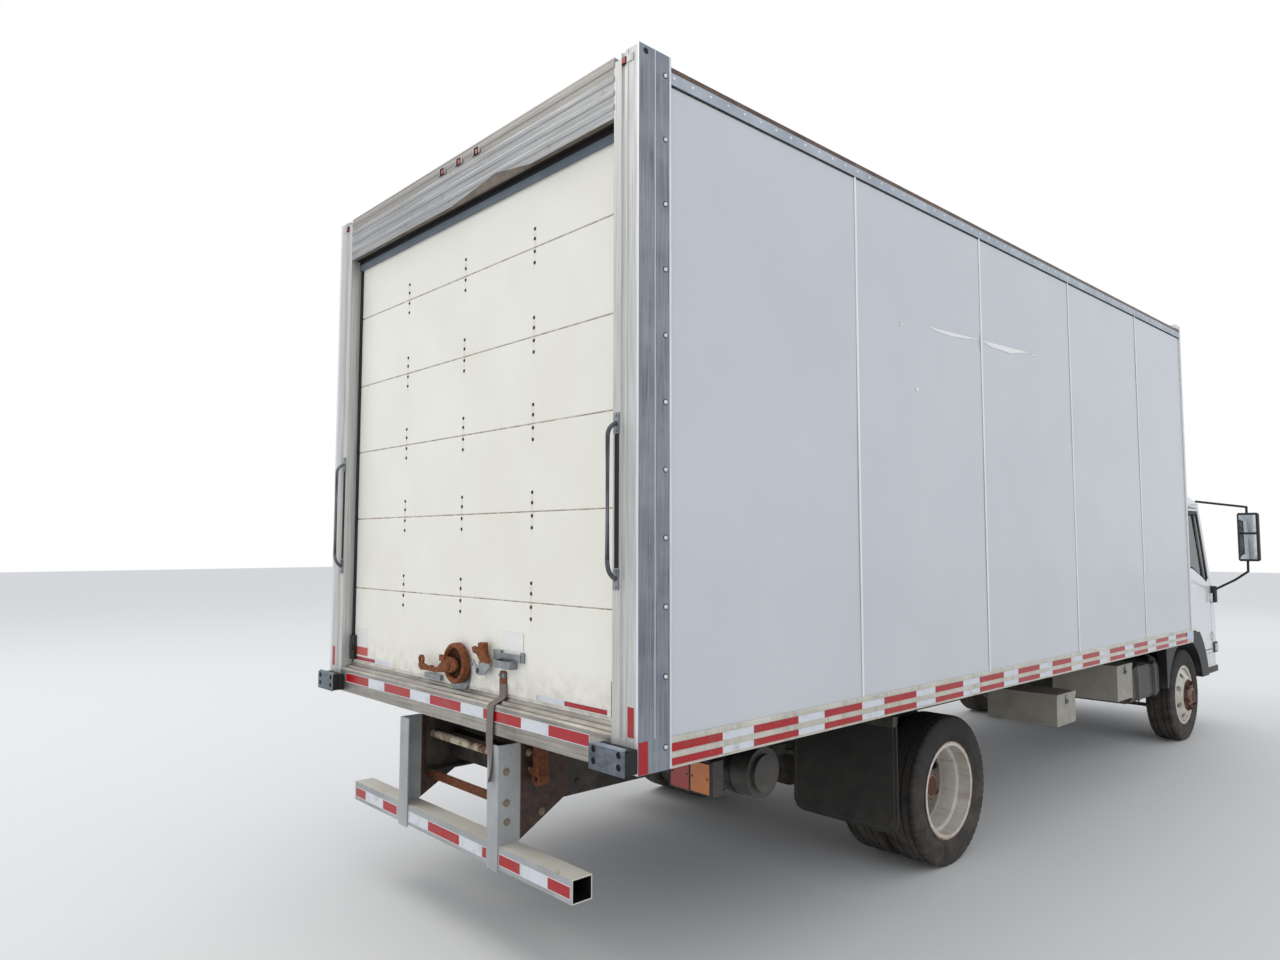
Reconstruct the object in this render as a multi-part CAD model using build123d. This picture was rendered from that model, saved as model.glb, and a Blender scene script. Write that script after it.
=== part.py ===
from build123d import *
import math
import os

os.makedirs("parts", exist_ok=True)

# Box truck, low cab forward, twin rear wheels. Millimetres.
# +X points forwards, +Y to the driver's left hand, +Z up. The road is Z = 0.

# Whole vehicle
BODY_LENGTH = 6300.0
BODY_WIDTH = 2591.0
BODY_HEIGHT = 2670.0
BODY_BASE_Z = 950.0
CAB_GAP = 160.0
CAB_LENGTH = 1760.0
CAB_WIDTH = 2000.0
FRONT_OVERHANG = 1238.0
REAR_OVERHANG = 2512.0
DOCK_REACH = 66.0
PIECE_GAP = 0.3

# Wheels and tyres
TYRE_RADIUS = 403.0
SECTION_WIDTH = 216.0
RIM_RADIUS = 262.0
RIM_SEAT_RADIUS = 248.0
RIM_WIDTH = 190.0
RIM_WALL = 9.0
HUB_RADIUS = 82.0
HAND_HOLES = 8
HAND_HOLE_RADIUS = 24.0
HAND_HOLE_CIRCLE = 184.0
FRONT_TRACK = 1824.0
TWIN_INNER_TRACK = 1508.0
TWIN_SPACING = 260.0
DISC_OFFSET = TWIN_SPACING / 2
DRUM_RADIUS = 168.0
SPINDLE_RADIUS = 30.0
KINGPIN_TRACK = FRONT_TRACK - 284
KINGPIN_RADIUS = 16.0

# Chassis
FRAME_WIDTH = 850.0
RAIL_DEPTH = 216.0
RAIL_FLANGE = 70.0
RAIL_WALL = 8.0
FRAME_TAIL = 130.0
FRAME_NOSE = 330.0
SUBFRAME_DEPTH = 100.0
SPRING_WIDTH = 70.0
AXLE_TUBE_RADIUS = 62.0

# Body
RAIL_HEIGHT = 111.0
RAIL_THICK = 38.0
TOP_RAIL_HEIGHT = 73.0
TOP_RAIL_SHELF = 39.0
ROOF_DROP = 31.0
ROOF_BAND = 26.0
WALL_THICK = 28.0
WALL_INSET = 8.0
CORNER_POST = 50.0
ROOF_THICK = 25.0
DECK_THICK = 35.0
LOAD_FLOOR = 145.0
CROSS_MEMBERS = 14
POST_WIDTH = 145.0
POST_DEPTH = 164.0
JAMB_DEPTH = 66.0
HEADER_HEIGHT = 240.0
DOOR_THICK = 25.0
DOOR_BASE = 163.0
DOOR_SEAMS = (562.0, 946.0, 1322.0, 1700.0, 2092.0)
DOOR_TOP = 2385.0

# Cab
CAB_WALL = 50.0
CAB_SKIRT_Z = 705.0
CAB_FLOOR_Z = 1000.0
BELT_Z = 1352.0
ROOF_LINE_Z = 2158.0
CAB_TOP_Z = 2250.0
DOOR_GAP = 10.0
HINGE_PIN_RADIUS = 8.0
HINGE_PROUD = 6.0
ARCH_RADIUS = 500.0
FENDER_RADIUS = 700.0
DOOR_SILL_Z = 940.0
DOOR_REAR_U = 606.0
DOOR_FRONT_U = CAB_LENGTH - 280
DOOR_TOP_Z = 2110.0
DOOR_FOOT_Z = 745.0
DOOR_TOP_FRONT_U = CAB_LENGTH - 478
TILT_BACK = 130.0
TILT_Z = 760.0
TILT_PIN_RADIUS = 12.0
ENGINE_HALF = 260.0
HUMP_HALF = 320.0
HUMP_Z = 1180.0

# Stations worked out from the driving sizes
OVERALL_LENGTH = DOCK_REACH + BODY_LENGTH + CAB_GAP + CAB_LENGTH
BODY_REAR = -OVERALL_LENGTH / 2 + DOCK_REACH
BODY_FRONT = BODY_REAR + BODY_LENGTH
CAB_REAR = BODY_FRONT + CAB_GAP
NOSE_X = CAB_REAR + CAB_LENGTH
REAR_AXLE_X = BODY_REAR + REAR_OVERHANG
FRONT_AXLE_X = NOSE_X - FRONT_OVERHANG
AXLE_Z = TYRE_RADIUS
BODY_TOP = BODY_BASE_Z + BODY_HEIGHT
ROOF_EDGE_Z = BODY_TOP - ROOF_DROP
BODY_SIDE = BODY_WIDTH / 2
FRAME_TOP = BODY_BASE_Z - SUBFRAME_DEPTH
FRAME_BASE = FRAME_TOP - RAIL_DEPTH
FRAME_SIDE = FRAME_WIDTH / 2
CAB_SIDE = CAB_WIDTH / 2
KINGPIN_Y = KINGPIN_TRACK / 2
FRONT_WHEEL_Y = FRONT_TRACK / 2
POST_INNER = BODY_SIDE - POST_WIDTH
DECK_TOP = BODY_BASE_Z + LOAD_FLOOR
WALL_OUTER = BODY_SIDE - WALL_INSET
WALL_INNER = WALL_OUTER - WALL_THICK

nodes = {}


def block(x, y, z):
    """Box between two limits along each axis."""
    size = Box(x[1] - x[0], y[1] - y[0], z[1] - z[0])
    return Pos((x[0] + x[1]) / 2, (y[0] + y[1]) / 2, (z[0] + z[1]) / 2) * size


def rod(start, end, radius):
    """Round bar between two points."""
    axis = Vector(*end) - Vector(*start)
    plane = Plane(origin=start, z_dir=tuple(axis))
    return extrude(plane * Circle(radius), axis.length)


def along_x(points, x):
    """Profile of (y, z) points run along X between two limits."""
    wire = Polyline(*[(x[0], y, z) for y, z in points], close=True)
    return Solid.extrude(Face(wire.wires()[0]), Vector(x[1] - x[0], 0, 0))


def along_y(points, y):
    """Profile of (x, z) points run along Y between two limits."""
    wire = Polyline(*[(x, y[0], z) for x, z in points], close=True)
    return Solid.extrude(Face(wire.wires()[0]), Vector(0, y[1] - y[0], 0))


def along_z(points, z):
    """Profile of (x, y) points run along Z between two limits."""
    wire = Polyline(*[(x, y, z[0]) for x, y in points], close=True)
    return Solid.extrude(Face(wire.wires()[0]), Vector(0, 0, z[1] - z[0]))


def other_side(shape):
    """The same piece on the other side of the vehicle."""
    return mirror(shape, Plane.XZ)


def both_sides(shape):
    return [shape, other_side(shape)]


def keep(name, *shapes):
    """Register the solids of one sub-part."""
    solids = []
    for shape in shapes:
        for item in shape if isinstance(shape, (list, tuple)) else [shape]:
            solids.extend(item.solids())
    nodes[name] = solids[0] if len(solids) == 1 else Compound(solids)


def spun_about_y(points, y=0.0):
    """Ring with a closed section of (y, radius) points, spun about the wheel's axis."""
    wire = Polyline(*[(r, y + v, 0) for v, r in points], close=True)
    return revolve(Face(wire.wires()[0]), Axis.Y)


# Wheels
HALF_RIM = RIM_WIDTH / 2
BEAD_Y = HALF_RIM - RIM_WALL


def tyre():
    """Tyre about its own axle line: flat crown and walls, closed over the rim's flanges."""
    wall = SECTION_WIDTH / 2
    bead = RIM_RADIUS + PIECE_GAP
    return spun_about_y([(wall, bead), (wall, TYRE_RADIUS), (-wall, TYRE_RADIUS), (-wall, bead)])


def rim(side):
    """Steel wheel: flanged barrel and coned disc with hand holes. The disc lies towards side."""
    inner = RIM_SEAT_RADIUS - RIM_WALL
    barrel = [(-HALF_RIM, RIM_RADIUS), (-HALF_RIM, inner), (HALF_RIM, inner),
              (HALF_RIM, RIM_RADIUS), (BEAD_Y, RIM_SEAT_RADIUS), (-BEAD_Y, RIM_SEAT_RADIUS)]
    face = side * DISC_OFFSET
    root = side * (DISC_OFFSET - 62)
    thick = side * 11
    disc = [(root, inner + 2), (face, HAND_HOLE_CIRCLE - 34), (face, HUB_RADIUS - 4),
            (face - thick, HUB_RADIUS - 4), (face - thick, HAND_HOLE_CIRCLE - 40),
            (root - thick, inner + 2)]
    wheel = spun_about_y(barrel) + spun_about_y(disc)
    reach = (min(0, face) - 30, max(0, face) + 30)
    for i in range(HAND_HOLES):
        hole = rod((HAND_HOLE_CIRCLE, reach[0], 0), (HAND_HOLE_CIRCLE, reach[1], 0),
                   HAND_HOLE_RADIUS)
        wheel = wheel - Rot(0, 360 * (i + 0.5) / HAND_HOLES, 0) * hole
    return wheel


FRONT_HUB_REACH = 40.0
REAR_HUB_REACH = 118.0
DRUM_DEPTH = 92.0
CAP_THICK = 12.0
FRONT_DISC_Y = FRONT_WHEEL_Y + DISC_OFFSET
TWIN_INNER_Y = TWIN_INNER_TRACK / 2
TWIN_OUTER_Y = TWIN_INNER_Y + TWIN_SPACING
TWIN_DISC_Y = TWIN_INNER_Y + DISC_OFFSET


def hub(disc_y, reach):
    """Hub with a bore for the spindle, brake drum on its inner side and a closed outer end."""
    drum_y = disc_y - 11
    bore = SPINDLE_RADIUS + PIECE_GAP
    end = disc_y + reach
    points = [(end, 0), (end, HUB_RADIUS - 24), (end - 22, HUB_RADIUS), (drum_y, HUB_RADIUS),
              (drum_y, DRUM_RADIUS), (drum_y - DRUM_DEPTH, DRUM_RADIUS),
              (drum_y - DRUM_DEPTH, bore), (end - CAP_THICK, bore), (end - CAP_THICK, 0)]
    return spun_about_y(points)


front_centre = Pos(FRONT_AXLE_X, FRONT_WHEEL_Y, AXLE_Z)
front_rim = front_centre * rim(1) + Pos(FRONT_AXLE_X, 0, AXLE_Z) * hub(FRONT_DISC_Y, FRONT_HUB_REACH)
front_tyre = front_centre * tyre()
keep("front_tyre_left", front_tyre)
keep("front_tyre_right", other_side(front_tyre))
keep("front_rim_left", front_rim)
keep("front_rim_right", other_side(front_rim))

# Twin wheels: the inner disc bows out, the outer one bows in, and they meet on the hub
inner_centre = Pos(REAR_AXLE_X, TWIN_INNER_Y, AXLE_Z)
outer_centre = Pos(REAR_AXLE_X, TWIN_OUTER_Y, AXLE_Z)
twin_rims = inner_centre * rim(1) + outer_centre * rim(-1)
twin_rims = twin_rims + Pos(REAR_AXLE_X, 0, AXLE_Z) * hub(TWIN_DISC_Y, REAR_HUB_REACH)
twin_tyres = [inner_centre * tyre(), outer_centre * tyre()]
keep("rear_rims_left", twin_rims)
keep("rear_rims_right", other_side(twin_rims))
keep("rear_tyres_left", twin_tyres)
keep("rear_tyres_right", [other_side(t) for t in twin_tyres])

# Front axle, knuckles and steering linkage
BEAM_TOP = 375.0
BEAM_BASE = 285.0
EYE_RADIUS = 38.0
EYE_HALF = 50.0
EAR_HEIGHT = 34.0
ARM_REACH = 180.0
ARM_Z = (326.0, 352.0)
TIE_ROD_RADIUS = 16.0
TIE_PIN_RADIUS = 9.0
SPRING_Y = FRAME_SIDE - SPRING_WIDTH / 2
EAR_GAP = 1.0
eye_top = AXLE_Z + EYE_HALF
eye_base = AXLE_Z - EYE_HALF
DRUM_IN_Y = FRONT_DISC_Y - 11 - DRUM_DEPTH

beam = block((FRONT_AXLE_X - 36, FRONT_AXLE_X + 36), (-SPRING_Y - 60, SPRING_Y + 60),
             (BEAM_BASE, BEAM_TOP))
beam_ends = []
for sign in (-1, 1):
    points = [(sign * (SPRING_Y + 60), BEAM_BASE), (sign * (SPRING_Y + 60), BEAM_TOP),
              (sign * (KINGPIN_Y - 60), eye_top - 8), (sign * KINGPIN_Y, eye_top - 8),
              (sign * KINGPIN_Y, eye_base + 8), (sign * (KINGPIN_Y - 50), eye_base + 8)]
    wedge = along_x(points, (FRONT_AXLE_X - 30, FRONT_AXLE_X + 30))
    eye = rod((FRONT_AXLE_X, sign * KINGPIN_Y, eye_base), (FRONT_AXLE_X, sign * KINGPIN_Y, eye_top),
              EYE_RADIUS)
    pin_bore = rod((FRONT_AXLE_X, sign * KINGPIN_Y, eye_base - 5),
                   (FRONT_AXLE_X, sign * KINGPIN_Y, eye_top + 5), KINGPIN_RADIUS + PIECE_GAP)
    beam = beam + wedge + eye - pin_bore
keep("front_axle", beam)

ear_lo = (eye_base - EAR_GAP - EAR_HEIGHT, eye_base - EAR_GAP)
ear_hi = (eye_top + EAR_GAP, eye_top + EAR_GAP + EAR_HEIGHT)
fork_y = KINGPIN_Y + EYE_RADIUS + 4


def knuckle():
    """Left stub axle: two ears on the kingpin, back plate, spindle and a steering arm."""
    kx, ky = FRONT_AXLE_X, KINGPIN_Y
    shape = rod((kx, ky, ear_lo[0]), (kx, ky, ear_hi[1]), KINGPIN_RADIUS)
    for z in (ear_lo, ear_hi):
        shape = shape + rod((kx, ky, z[0]), (kx, ky, z[1]), EYE_RADIUS)
        shape = shape + block((kx - EYE_RADIUS, kx + EYE_RADIUS), (ky, fork_y + 24), z)
    shape = shape + block((kx - EYE_RADIUS, kx + EYE_RADIUS), (fork_y, fork_y + 24),
                          (ear_lo[0], ear_hi[1]))
    tip = FRONT_DISC_Y + FRONT_HUB_REACH - CAP_THICK - 4
    shape = shape + rod((kx, fork_y + 10, AXLE_Z), (kx, tip, AXLE_Z), SPINDLE_RADIUS)
    shape = shape + rod((kx, fork_y + 8, AXLE_Z), (kx, DRUM_IN_Y - 4, AXLE_Z), 58)
    shape = shape + rod((kx, DRUM_IN_Y - 16, AXLE_Z), (kx, DRUM_IN_Y - 4, AXLE_Z), DRUM_RADIUS)
    arm = block((kx - ARM_REACH, kx), (ky - 14, ky + 14), ARM_Z)
    shape = shape + arm + rod((kx - ARM_REACH, ky, ARM_Z[0]), (kx - ARM_REACH, ky, ARM_Z[1]), 22)
    return shape - rod((kx - ARM_REACH, ky, ARM_Z[0] - 5), (kx - ARM_REACH, ky, ARM_Z[1] + 5),
                       TIE_PIN_RADIUS + PIECE_GAP)


left_knuckle = knuckle()
keep("knuckle_left", left_knuckle)
keep("knuckle_right", other_side(left_knuckle))

tie_x = FRONT_AXLE_X - ARM_REACH
tie_z = ARM_Z[0] - 24
tie = rod((tie_x, -KINGPIN_Y, tie_z), (tie_x, KINGPIN_Y, tie_z), TIE_ROD_RADIUS)
for sign in (-1, 1):
    tie = tie + rod((tie_x, sign * KINGPIN_Y, tie_z - 20), (tie_x, sign * KINGPIN_Y, tie_z + 20), 22)
    tie = tie + rod((tie_x, sign * KINGPIN_Y, tie_z), (tie_x, sign * KINGPIN_Y, ARM_Z[1] + 2),
                    TIE_PIN_RADIUS)
keep("tie_rod", tie)

# Rear axle and drive line
DIFF_RADIUS = 185.0
SHAFT_RADIUS = 48.0
rear_drum_in = TWIN_DISC_Y - 11 - DRUM_DEPTH
spindle_tip = TWIN_DISC_Y + REAR_HUB_REACH - CAP_THICK - 4
axle = rod((REAR_AXLE_X, -spindle_tip, AXLE_Z), (REAR_AXLE_X, spindle_tip, AXLE_Z), SPINDLE_RADIUS)
axle = axle + rod((REAR_AXLE_X, 4 - rear_drum_in, AXLE_Z), (REAR_AXLE_X, rear_drum_in - 4, AXLE_Z),
                  AXLE_TUBE_RADIUS)
for sign in (-1, 1):
    plate = rod((REAR_AXLE_X, sign * (rear_drum_in - 16), AXLE_Z),
                (REAR_AXLE_X, sign * (rear_drum_in - 4), AXLE_Z), DRUM_RADIUS)
    axle = axle + plate
housing = spun_about_y([(-100, 60), (-70, DIFF_RADIUS - 35), (-30, DIFF_RADIUS), (30, DIFF_RADIUS),
                        (70, DIFF_RADIUS - 35), (100, 60)])
axle = axle + Pos(REAR_AXLE_X, 0, AXLE_Z) * housing
nose_x = REAR_AXLE_X + DIFF_RADIUS + 120
axle = axle + rod((REAR_AXLE_X, 0, AXLE_Z), (nose_x, 0, AXLE_Z), 62)

ENGINE_X = (CAB_REAR + 100, CAB_REAR + 1080)
ENGINE_Z = (470.0, 1100.0)
GEARBOX_LENGTH = 560.0
keep("engine_block", block(ENGINE_X, (-ENGINE_HALF, ENGINE_HALF), ENGINE_Z)
     + block((ENGINE_X[0] - GEARBOX_LENGTH, ENGINE_X[0]), (-170, 170), (ENGINE_Z[0] + 20, 800)))
shaft_start = ENGINE_X[0] - GEARBOX_LENGTH
SHAFT_Z = 560.0
MID_X = REAR_AXLE_X + 1765
shaft = rod((nose_x, 0, AXLE_Z), (MID_X, 0, SHAFT_Z), SHAFT_RADIUS)
shaft = shaft + rod((MID_X - 40, 0, SHAFT_Z), (MID_X + 90, 0, SHAFT_Z), 70)
shaft = shaft + rod((MID_X, 0, SHAFT_Z), (shaft_start, 0, SHAFT_Z + 20), SHAFT_RADIUS)
shaft = shaft - block((shaft_start, shaft_start + 200), (-200, 200), (SHAFT_Z - 100, SHAFT_Z + 120))
keep("rear_axle", axle + shaft)


def leaf_spring(x, z_seat, z_eye, half, leaves, pad):
    """Leaf pack bowed under its rail, with eyes, hangers up to the rail and an axle pad."""
    steps = 10
    top = []
    base = []
    for i in range(steps + 1):
        t = -1 + 2 * i / steps
        lift = z_seat + (z_eye - z_seat) * t * t
        top.append((x + t * half, lift + leaves - (leaves - 14) * abs(t)))
        base.append((x + t * half, lift))
    pack = along_y(base + top[::-1], (SPRING_Y - SPRING_WIDTH / 2, SPRING_Y + SPRING_WIDTH / 2))
    for sign in (-1, 1):
        end = x + sign * half
        low = z_eye - 14
        pack = pack + rod((end, SPRING_Y - 35, z_eye + 7), (end, SPRING_Y + 35, z_eye + 7), 26)
        hanger = [(end - 30, low), (end + 30, low), (end + 60, FRAME_BASE), (end - 60, FRAME_BASE)]
        for y in (SPRING_Y - SPRING_WIDTH / 2 - 12, SPRING_Y + SPRING_WIDTH / 2):
            pack = pack + along_y(hanger, (y, y + 12))
    return pack + block((x - 70, x + 70), (SPRING_Y - 35, SPRING_Y + 35), pad)


FRONT_SPRING_HALF = 560.0
REAR_SPRING_HALF = 640.0
front_spring = leaf_spring(FRONT_AXLE_X, BEAM_TOP + 20, FRAME_BASE - 60, FRONT_SPRING_HALF, 55,
                           (BEAM_TOP, BEAM_TOP + 30))
rear_seat = AXLE_Z + AXLE_TUBE_RADIUS + 14
rear_spring = leaf_spring(REAR_AXLE_X, rear_seat, FRAME_BASE - 40, REAR_SPRING_HALF, 85,
                          (AXLE_Z + AXLE_TUBE_RADIUS + PIECE_GAP, rear_seat + 40))
keep("leaf_springs", both_sides(front_spring), both_sides(rear_spring))

# Frame
RAIL_X = (BODY_REAR + FRAME_TAIL, NOSE_X - FRAME_NOSE)
FLANGE_Y = FRAME_SIDE - RAIL_FLANGE
WEB_Y = FRAME_SIDE - RAIL_WALL
channel = [(FRAME_SIDE, FRAME_BASE), (FRAME_SIDE, FRAME_TOP), (FLANGE_Y, FRAME_TOP),
           (FLANGE_Y, FRAME_TOP - RAIL_WALL), (WEB_Y, FRAME_TOP - RAIL_WALL),
           (WEB_Y, FRAME_BASE + RAIL_WALL), (FLANGE_Y, FRAME_BASE + RAIL_WALL),
           (FLANGE_Y, FRAME_BASE)]
ladder = along_x(channel, RAIL_X)
ladder = ladder + other_side(ladder)

CROSS_Z = (FRAME_BASE + 46, FRAME_TOP - 50)
cross_at = (RAIL_X[0] + 170, REAR_AXLE_X - 640, REAR_AXLE_X + 640, REAR_AXLE_X + 1865,
            REAR_AXLE_X + 2665, RAIL_X[1] - 60)
for x in cross_at:
    ladder = ladder + block((x - 30, x + 30), (-WEB_Y, WEB_Y), CROSS_Z)

# Subframe sills and the floor above them
SILL_Y = (FLANGE_Y + 5, FRAME_SIDE)
SILL_X = (RAIL_X[0], BODY_FRONT - 60)
CAVITY_Y = BODY_SIDE - RAIL_THICK
FLOOR_X = (BODY_REAR + 110, BODY_FRONT - CORNER_POST)
DECK_BASE = DECK_TOP - DECK_THICK
deck = block(FLOOR_X, (-CAVITY_Y, CAVITY_Y), (DECK_BASE, DECK_TOP))
floor = [deck]
pitch = (FLOOR_X[1] - 40 - (FLOOR_X[0] + 60)) / (CROSS_MEMBERS - 1)
for i in range(CROSS_MEMBERS):
    x = FLOOR_X[0] + 60 + i * pitch
    section = [(-25, 0), (25, 0), (25, 8), (5, 8), (5, DECK_BASE - BODY_BASE_Z - 8),
               (25, DECK_BASE - BODY_BASE_Z - 8), (25, DECK_BASE - BODY_BASE_Z),
               (-25, DECK_BASE - BODY_BASE_Z), (-25, DECK_BASE - BODY_BASE_Z - 8),
               (-5, DECK_BASE - BODY_BASE_Z - 8), (-5, 8), (-25, 8)]
    beam_points = [(x + dx, BODY_BASE_Z + dz) for dx, dz in section]
    floor.append(along_y(beam_points, (-CAVITY_Y, CAVITY_Y)))
floor.extend(both_sides(block(SILL_X, SILL_Y, (FRAME_TOP, BODY_BASE_Z))))
body_floor = floor[0]
for shape in floor[1:]:
    body_floor = body_floor + shape
keep("body_floor", body_floor)

# Side rails with tape grooves, walls, corner posts, front wall and roof
SIDE_X = (BODY_REAR + POST_DEPTH, BODY_FRONT - CORNER_POST)
GROOVE = 3.0
rail_points = [(CAVITY_Y, 0), (BODY_SIDE, 0), (BODY_SIDE, 6), (BODY_SIDE - GROOVE, 8),
               (BODY_SIDE - GROOVE, 36), (BODY_SIDE, 38), (BODY_SIDE, 56),
               (BODY_SIDE - GROOVE, 58), (BODY_SIDE - GROOVE, 90), (BODY_SIDE, 92),
               (BODY_SIDE, RAIL_HEIGHT - 4), (BODY_SIDE - 4, RAIL_HEIGHT), (CAVITY_Y, RAIL_HEIGHT)]
bottom_rail = along_x([(y, BODY_BASE_Z + z) for y, z in rail_points], SIDE_X)
TOP_RAIL_Z = ROOF_EDGE_Z - TOP_RAIL_HEIGHT
SHELF_Z = TOP_RAIL_Z + TOP_RAIL_SHELF
BAND_Z = ROOF_EDGE_Z - ROOF_BAND
ROOF_SIDE = BODY_SIDE - 12
rim_points = [(BODY_SIDE, TOP_RAIL_Z), (BODY_SIDE, BAND_Z), (BODY_SIDE - 3, BAND_Z + 2),
              (BODY_SIDE - 3, ROOF_EDGE_Z - 4), (BODY_SIDE - 7, ROOF_EDGE_Z),
              (ROOF_SIDE, ROOF_EDGE_Z), (ROOF_SIDE, SHELF_Z), (BODY_SIDE - 40, SHELF_Z),
              (BODY_SIDE - 40, TOP_RAIL_Z)]
top_rail = along_x(rim_points, SIDE_X)
front_rail = along_y([(BODY_FRONT - BODY_SIDE + y, z) for y, z in rim_points],
                     (CORNER_POST - BODY_SIDE, BODY_SIDE - CORNER_POST))
keep("side_rails", both_sides(bottom_rail), both_sides(top_rail), front_rail)
side_wall = block(SIDE_X, (WALL_INNER, WALL_OUTER), (BODY_BASE_Z + RAIL_HEIGHT, TOP_RAIL_Z))
keep("side_wall_left", side_wall)
keep("side_wall_right", other_side(side_wall))
FRONT_IN = BODY_FRONT - CORNER_POST
front_wall = block((FRONT_IN, BODY_FRONT), (CORNER_POST - BODY_SIDE, BODY_SIDE - CORNER_POST),
                   (BODY_BASE_Z, TOP_RAIL_Z))
keep("front_wall", front_wall)
ROUND = 30.0
corner = [(BODY_FRONT - CORNER_POST, BODY_SIDE - CORNER_POST),
          (BODY_FRONT, BODY_SIDE - CORNER_POST), (BODY_FRONT, BODY_SIDE - ROUND)]
for i in (1, 2, 3):
    turn = math.radians(90 * i / 4)
    corner.append((BODY_FRONT - ROUND + ROUND * math.cos(turn),
                   BODY_SIDE - ROUND + ROUND * math.sin(turn)))
corner.extend([(BODY_FRONT - ROUND, BODY_SIDE), (BODY_FRONT - CORNER_POST, BODY_SIDE)])
CORNER_CAP = 140.0
cap = block((BODY_FRONT - CORNER_CAP, BODY_FRONT - CORNER_POST), (BODY_SIDE - CORNER_POST, BODY_SIDE),
            (ROOF_EDGE_Z, BODY_TOP))
keep("front_corners", both_sides(along_z(corner, (BODY_BASE_Z, BODY_TOP)) + cap))
keep("roof_panel", block((SIDE_X[0], SIDE_X[1]), (-ROOF_SIDE, ROOF_SIDE),
                         (SHELF_Z, SHELF_Z + ROOF_THICK)),
     block((SIDE_X[1], BODY_FRONT - 12), (CORNER_POST - BODY_SIDE, BODY_SIDE - CORNER_POST),
           (SHELF_Z, SHELF_Z + ROOF_THICK)))

# Rear frame
POST_BASE = BODY_BASE_Z + 116
LIP_THICK = 6.0
post_points = [(3, POST_INNER), (3, POST_INNER + 42), (9, POST_INNER + 45), (9, POST_INNER + 61),
               (3, POST_INNER + 64), (3, POST_INNER + 72), (0, POST_INNER + 76),
               (0, POST_INNER + 80), (3, POST_INNER + 84), (3, BODY_SIDE - 13),
               (0, BODY_SIDE - 9), (0, BODY_SIDE), (POST_DEPTH, BODY_SIDE),
               (POST_DEPTH, BODY_SIDE - 36), (JAMB_DEPTH, BODY_SIDE - 36),
               (JAMB_DEPTH, POST_INNER)]
post = along_z([(BODY_REAR + x, y) for x, y in post_points], (POST_BASE, BODY_TOP))
foot = block((BODY_REAR, BODY_REAR + JAMB_DEPTH), (POST_INNER, BODY_SIDE), (BODY_BASE_Z, POST_BASE))
foot = foot + block((BODY_REAR + JAMB_DEPTH, BODY_REAR + POST_DEPTH), (BODY_SIDE - 36, BODY_SIDE),
                    (BODY_BASE_Z, POST_BASE))
gusset = block((BODY_REAR + JAMB_DEPTH, BODY_REAR + POST_DEPTH), (POST_INNER, BODY_SIDE - 36),
               (BODY_TOP - 10, BODY_TOP))
gusset = gusset + block((BODY_REAR + POST_DEPTH - LIP_THICK, BODY_REAR + POST_DEPTH),
                        (POST_INNER, BODY_SIDE - 36), (SHELF_Z, BODY_TOP))
lamp_seat = block((BODY_REAR - 1, BODY_REAR + 20), (POST_INNER + 46, POST_INNER + 110),
                  (BODY_TOP - 52, BODY_TOP - 26))
step = block((BODY_REAR - 1, BODY_REAR + 40), (POST_INNER - 1, POST_INNER + 40),
             (BODY_TOP - 22, BODY_TOP + 1))
post = post + foot + gusset - lamp_seat - step
keep("rear_posts", both_sides(post))

HEADER_Z = BODY_TOP - HEADER_HEIGHT
SEAL_Z = BODY_BASE_Z + 2376
header_points = [(52, SEAL_Z), (60, SEAL_Z), (60, HEADER_Z + 10), (13, HEADER_Z + 10),
                 (13, BODY_TOP - 10), (POST_DEPTH - LIP_THICK, BODY_TOP - 10),
                 (POST_DEPTH - LIP_THICK, SHELF_Z), (POST_DEPTH, SHELF_Z), (POST_DEPTH, BODY_TOP),
                 (3, BODY_TOP)]
RIBS = (30, 85, 140, 195)
for drop in RIBS:
    z = BODY_TOP - drop
    header_points.extend([(3, z + 14), (0, z + 8), (0, z - 8), (3, z - 14)])
header_points.extend([(3, HEADER_Z), (52, HEADER_Z)])
header = along_y([(BODY_REAR + x, z) for x, z in header_points], (-POST_INNER, POST_INNER))
DENT = ((56.0, 0.0), (-343.0, 45.0), (-605.0, 0.0))
dent = along_x([(y, HEADER_Z - 1 + lift) for y, lift in DENT] + [(-605, HEADER_Z - 5),
               (56, HEADER_Z - 5)], (BODY_REAR - 1, BODY_REAR + 14))
header = header - dent
HEADER_LAMPS = (138.0, -17.0, -172.0)
header_lamps = []
lamp_z = BODY_TOP - 39
for y in HEADER_LAMPS:
    shape = block((BODY_REAR, BODY_REAR + 12), (y - 31, y + 31), (lamp_z - 12, lamp_z + 12))
    header = header - block((BODY_REAR - 1, BODY_REAR + 12), (y - 31, y + 31),
                            (lamp_z - 12, lamp_z + 12))
    header_lamps.append(shape)
corner_lamp = block((BODY_REAR, BODY_REAR + 20), (POST_INNER + 48, POST_INNER + 108),
                    (BODY_TOP - 51, BODY_TOP - 27))
header_lamps.extend(both_sides(corner_lamp))
keep("rear_header", header)

sill_points = [(0, 0), (0, 52), (2, 53), (2, 103), (0, 104), (0, 118), (8, 126), (28, 126),
               (36, 137), (60, 137), (JAMB_DEPTH, 148), (110, 148), (110, 140), (71, 140),
               (64, 129), (40, 129), (32, 118), (12, 118), (10, 112), (10, 8), (60, 8), (60, 0)]
sill = along_y([(BODY_REAR + x, BODY_BASE_Z + z) for x, z in sill_points],
               (-POST_INNER, POST_INNER))
keep("rear_sill", sill)

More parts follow.
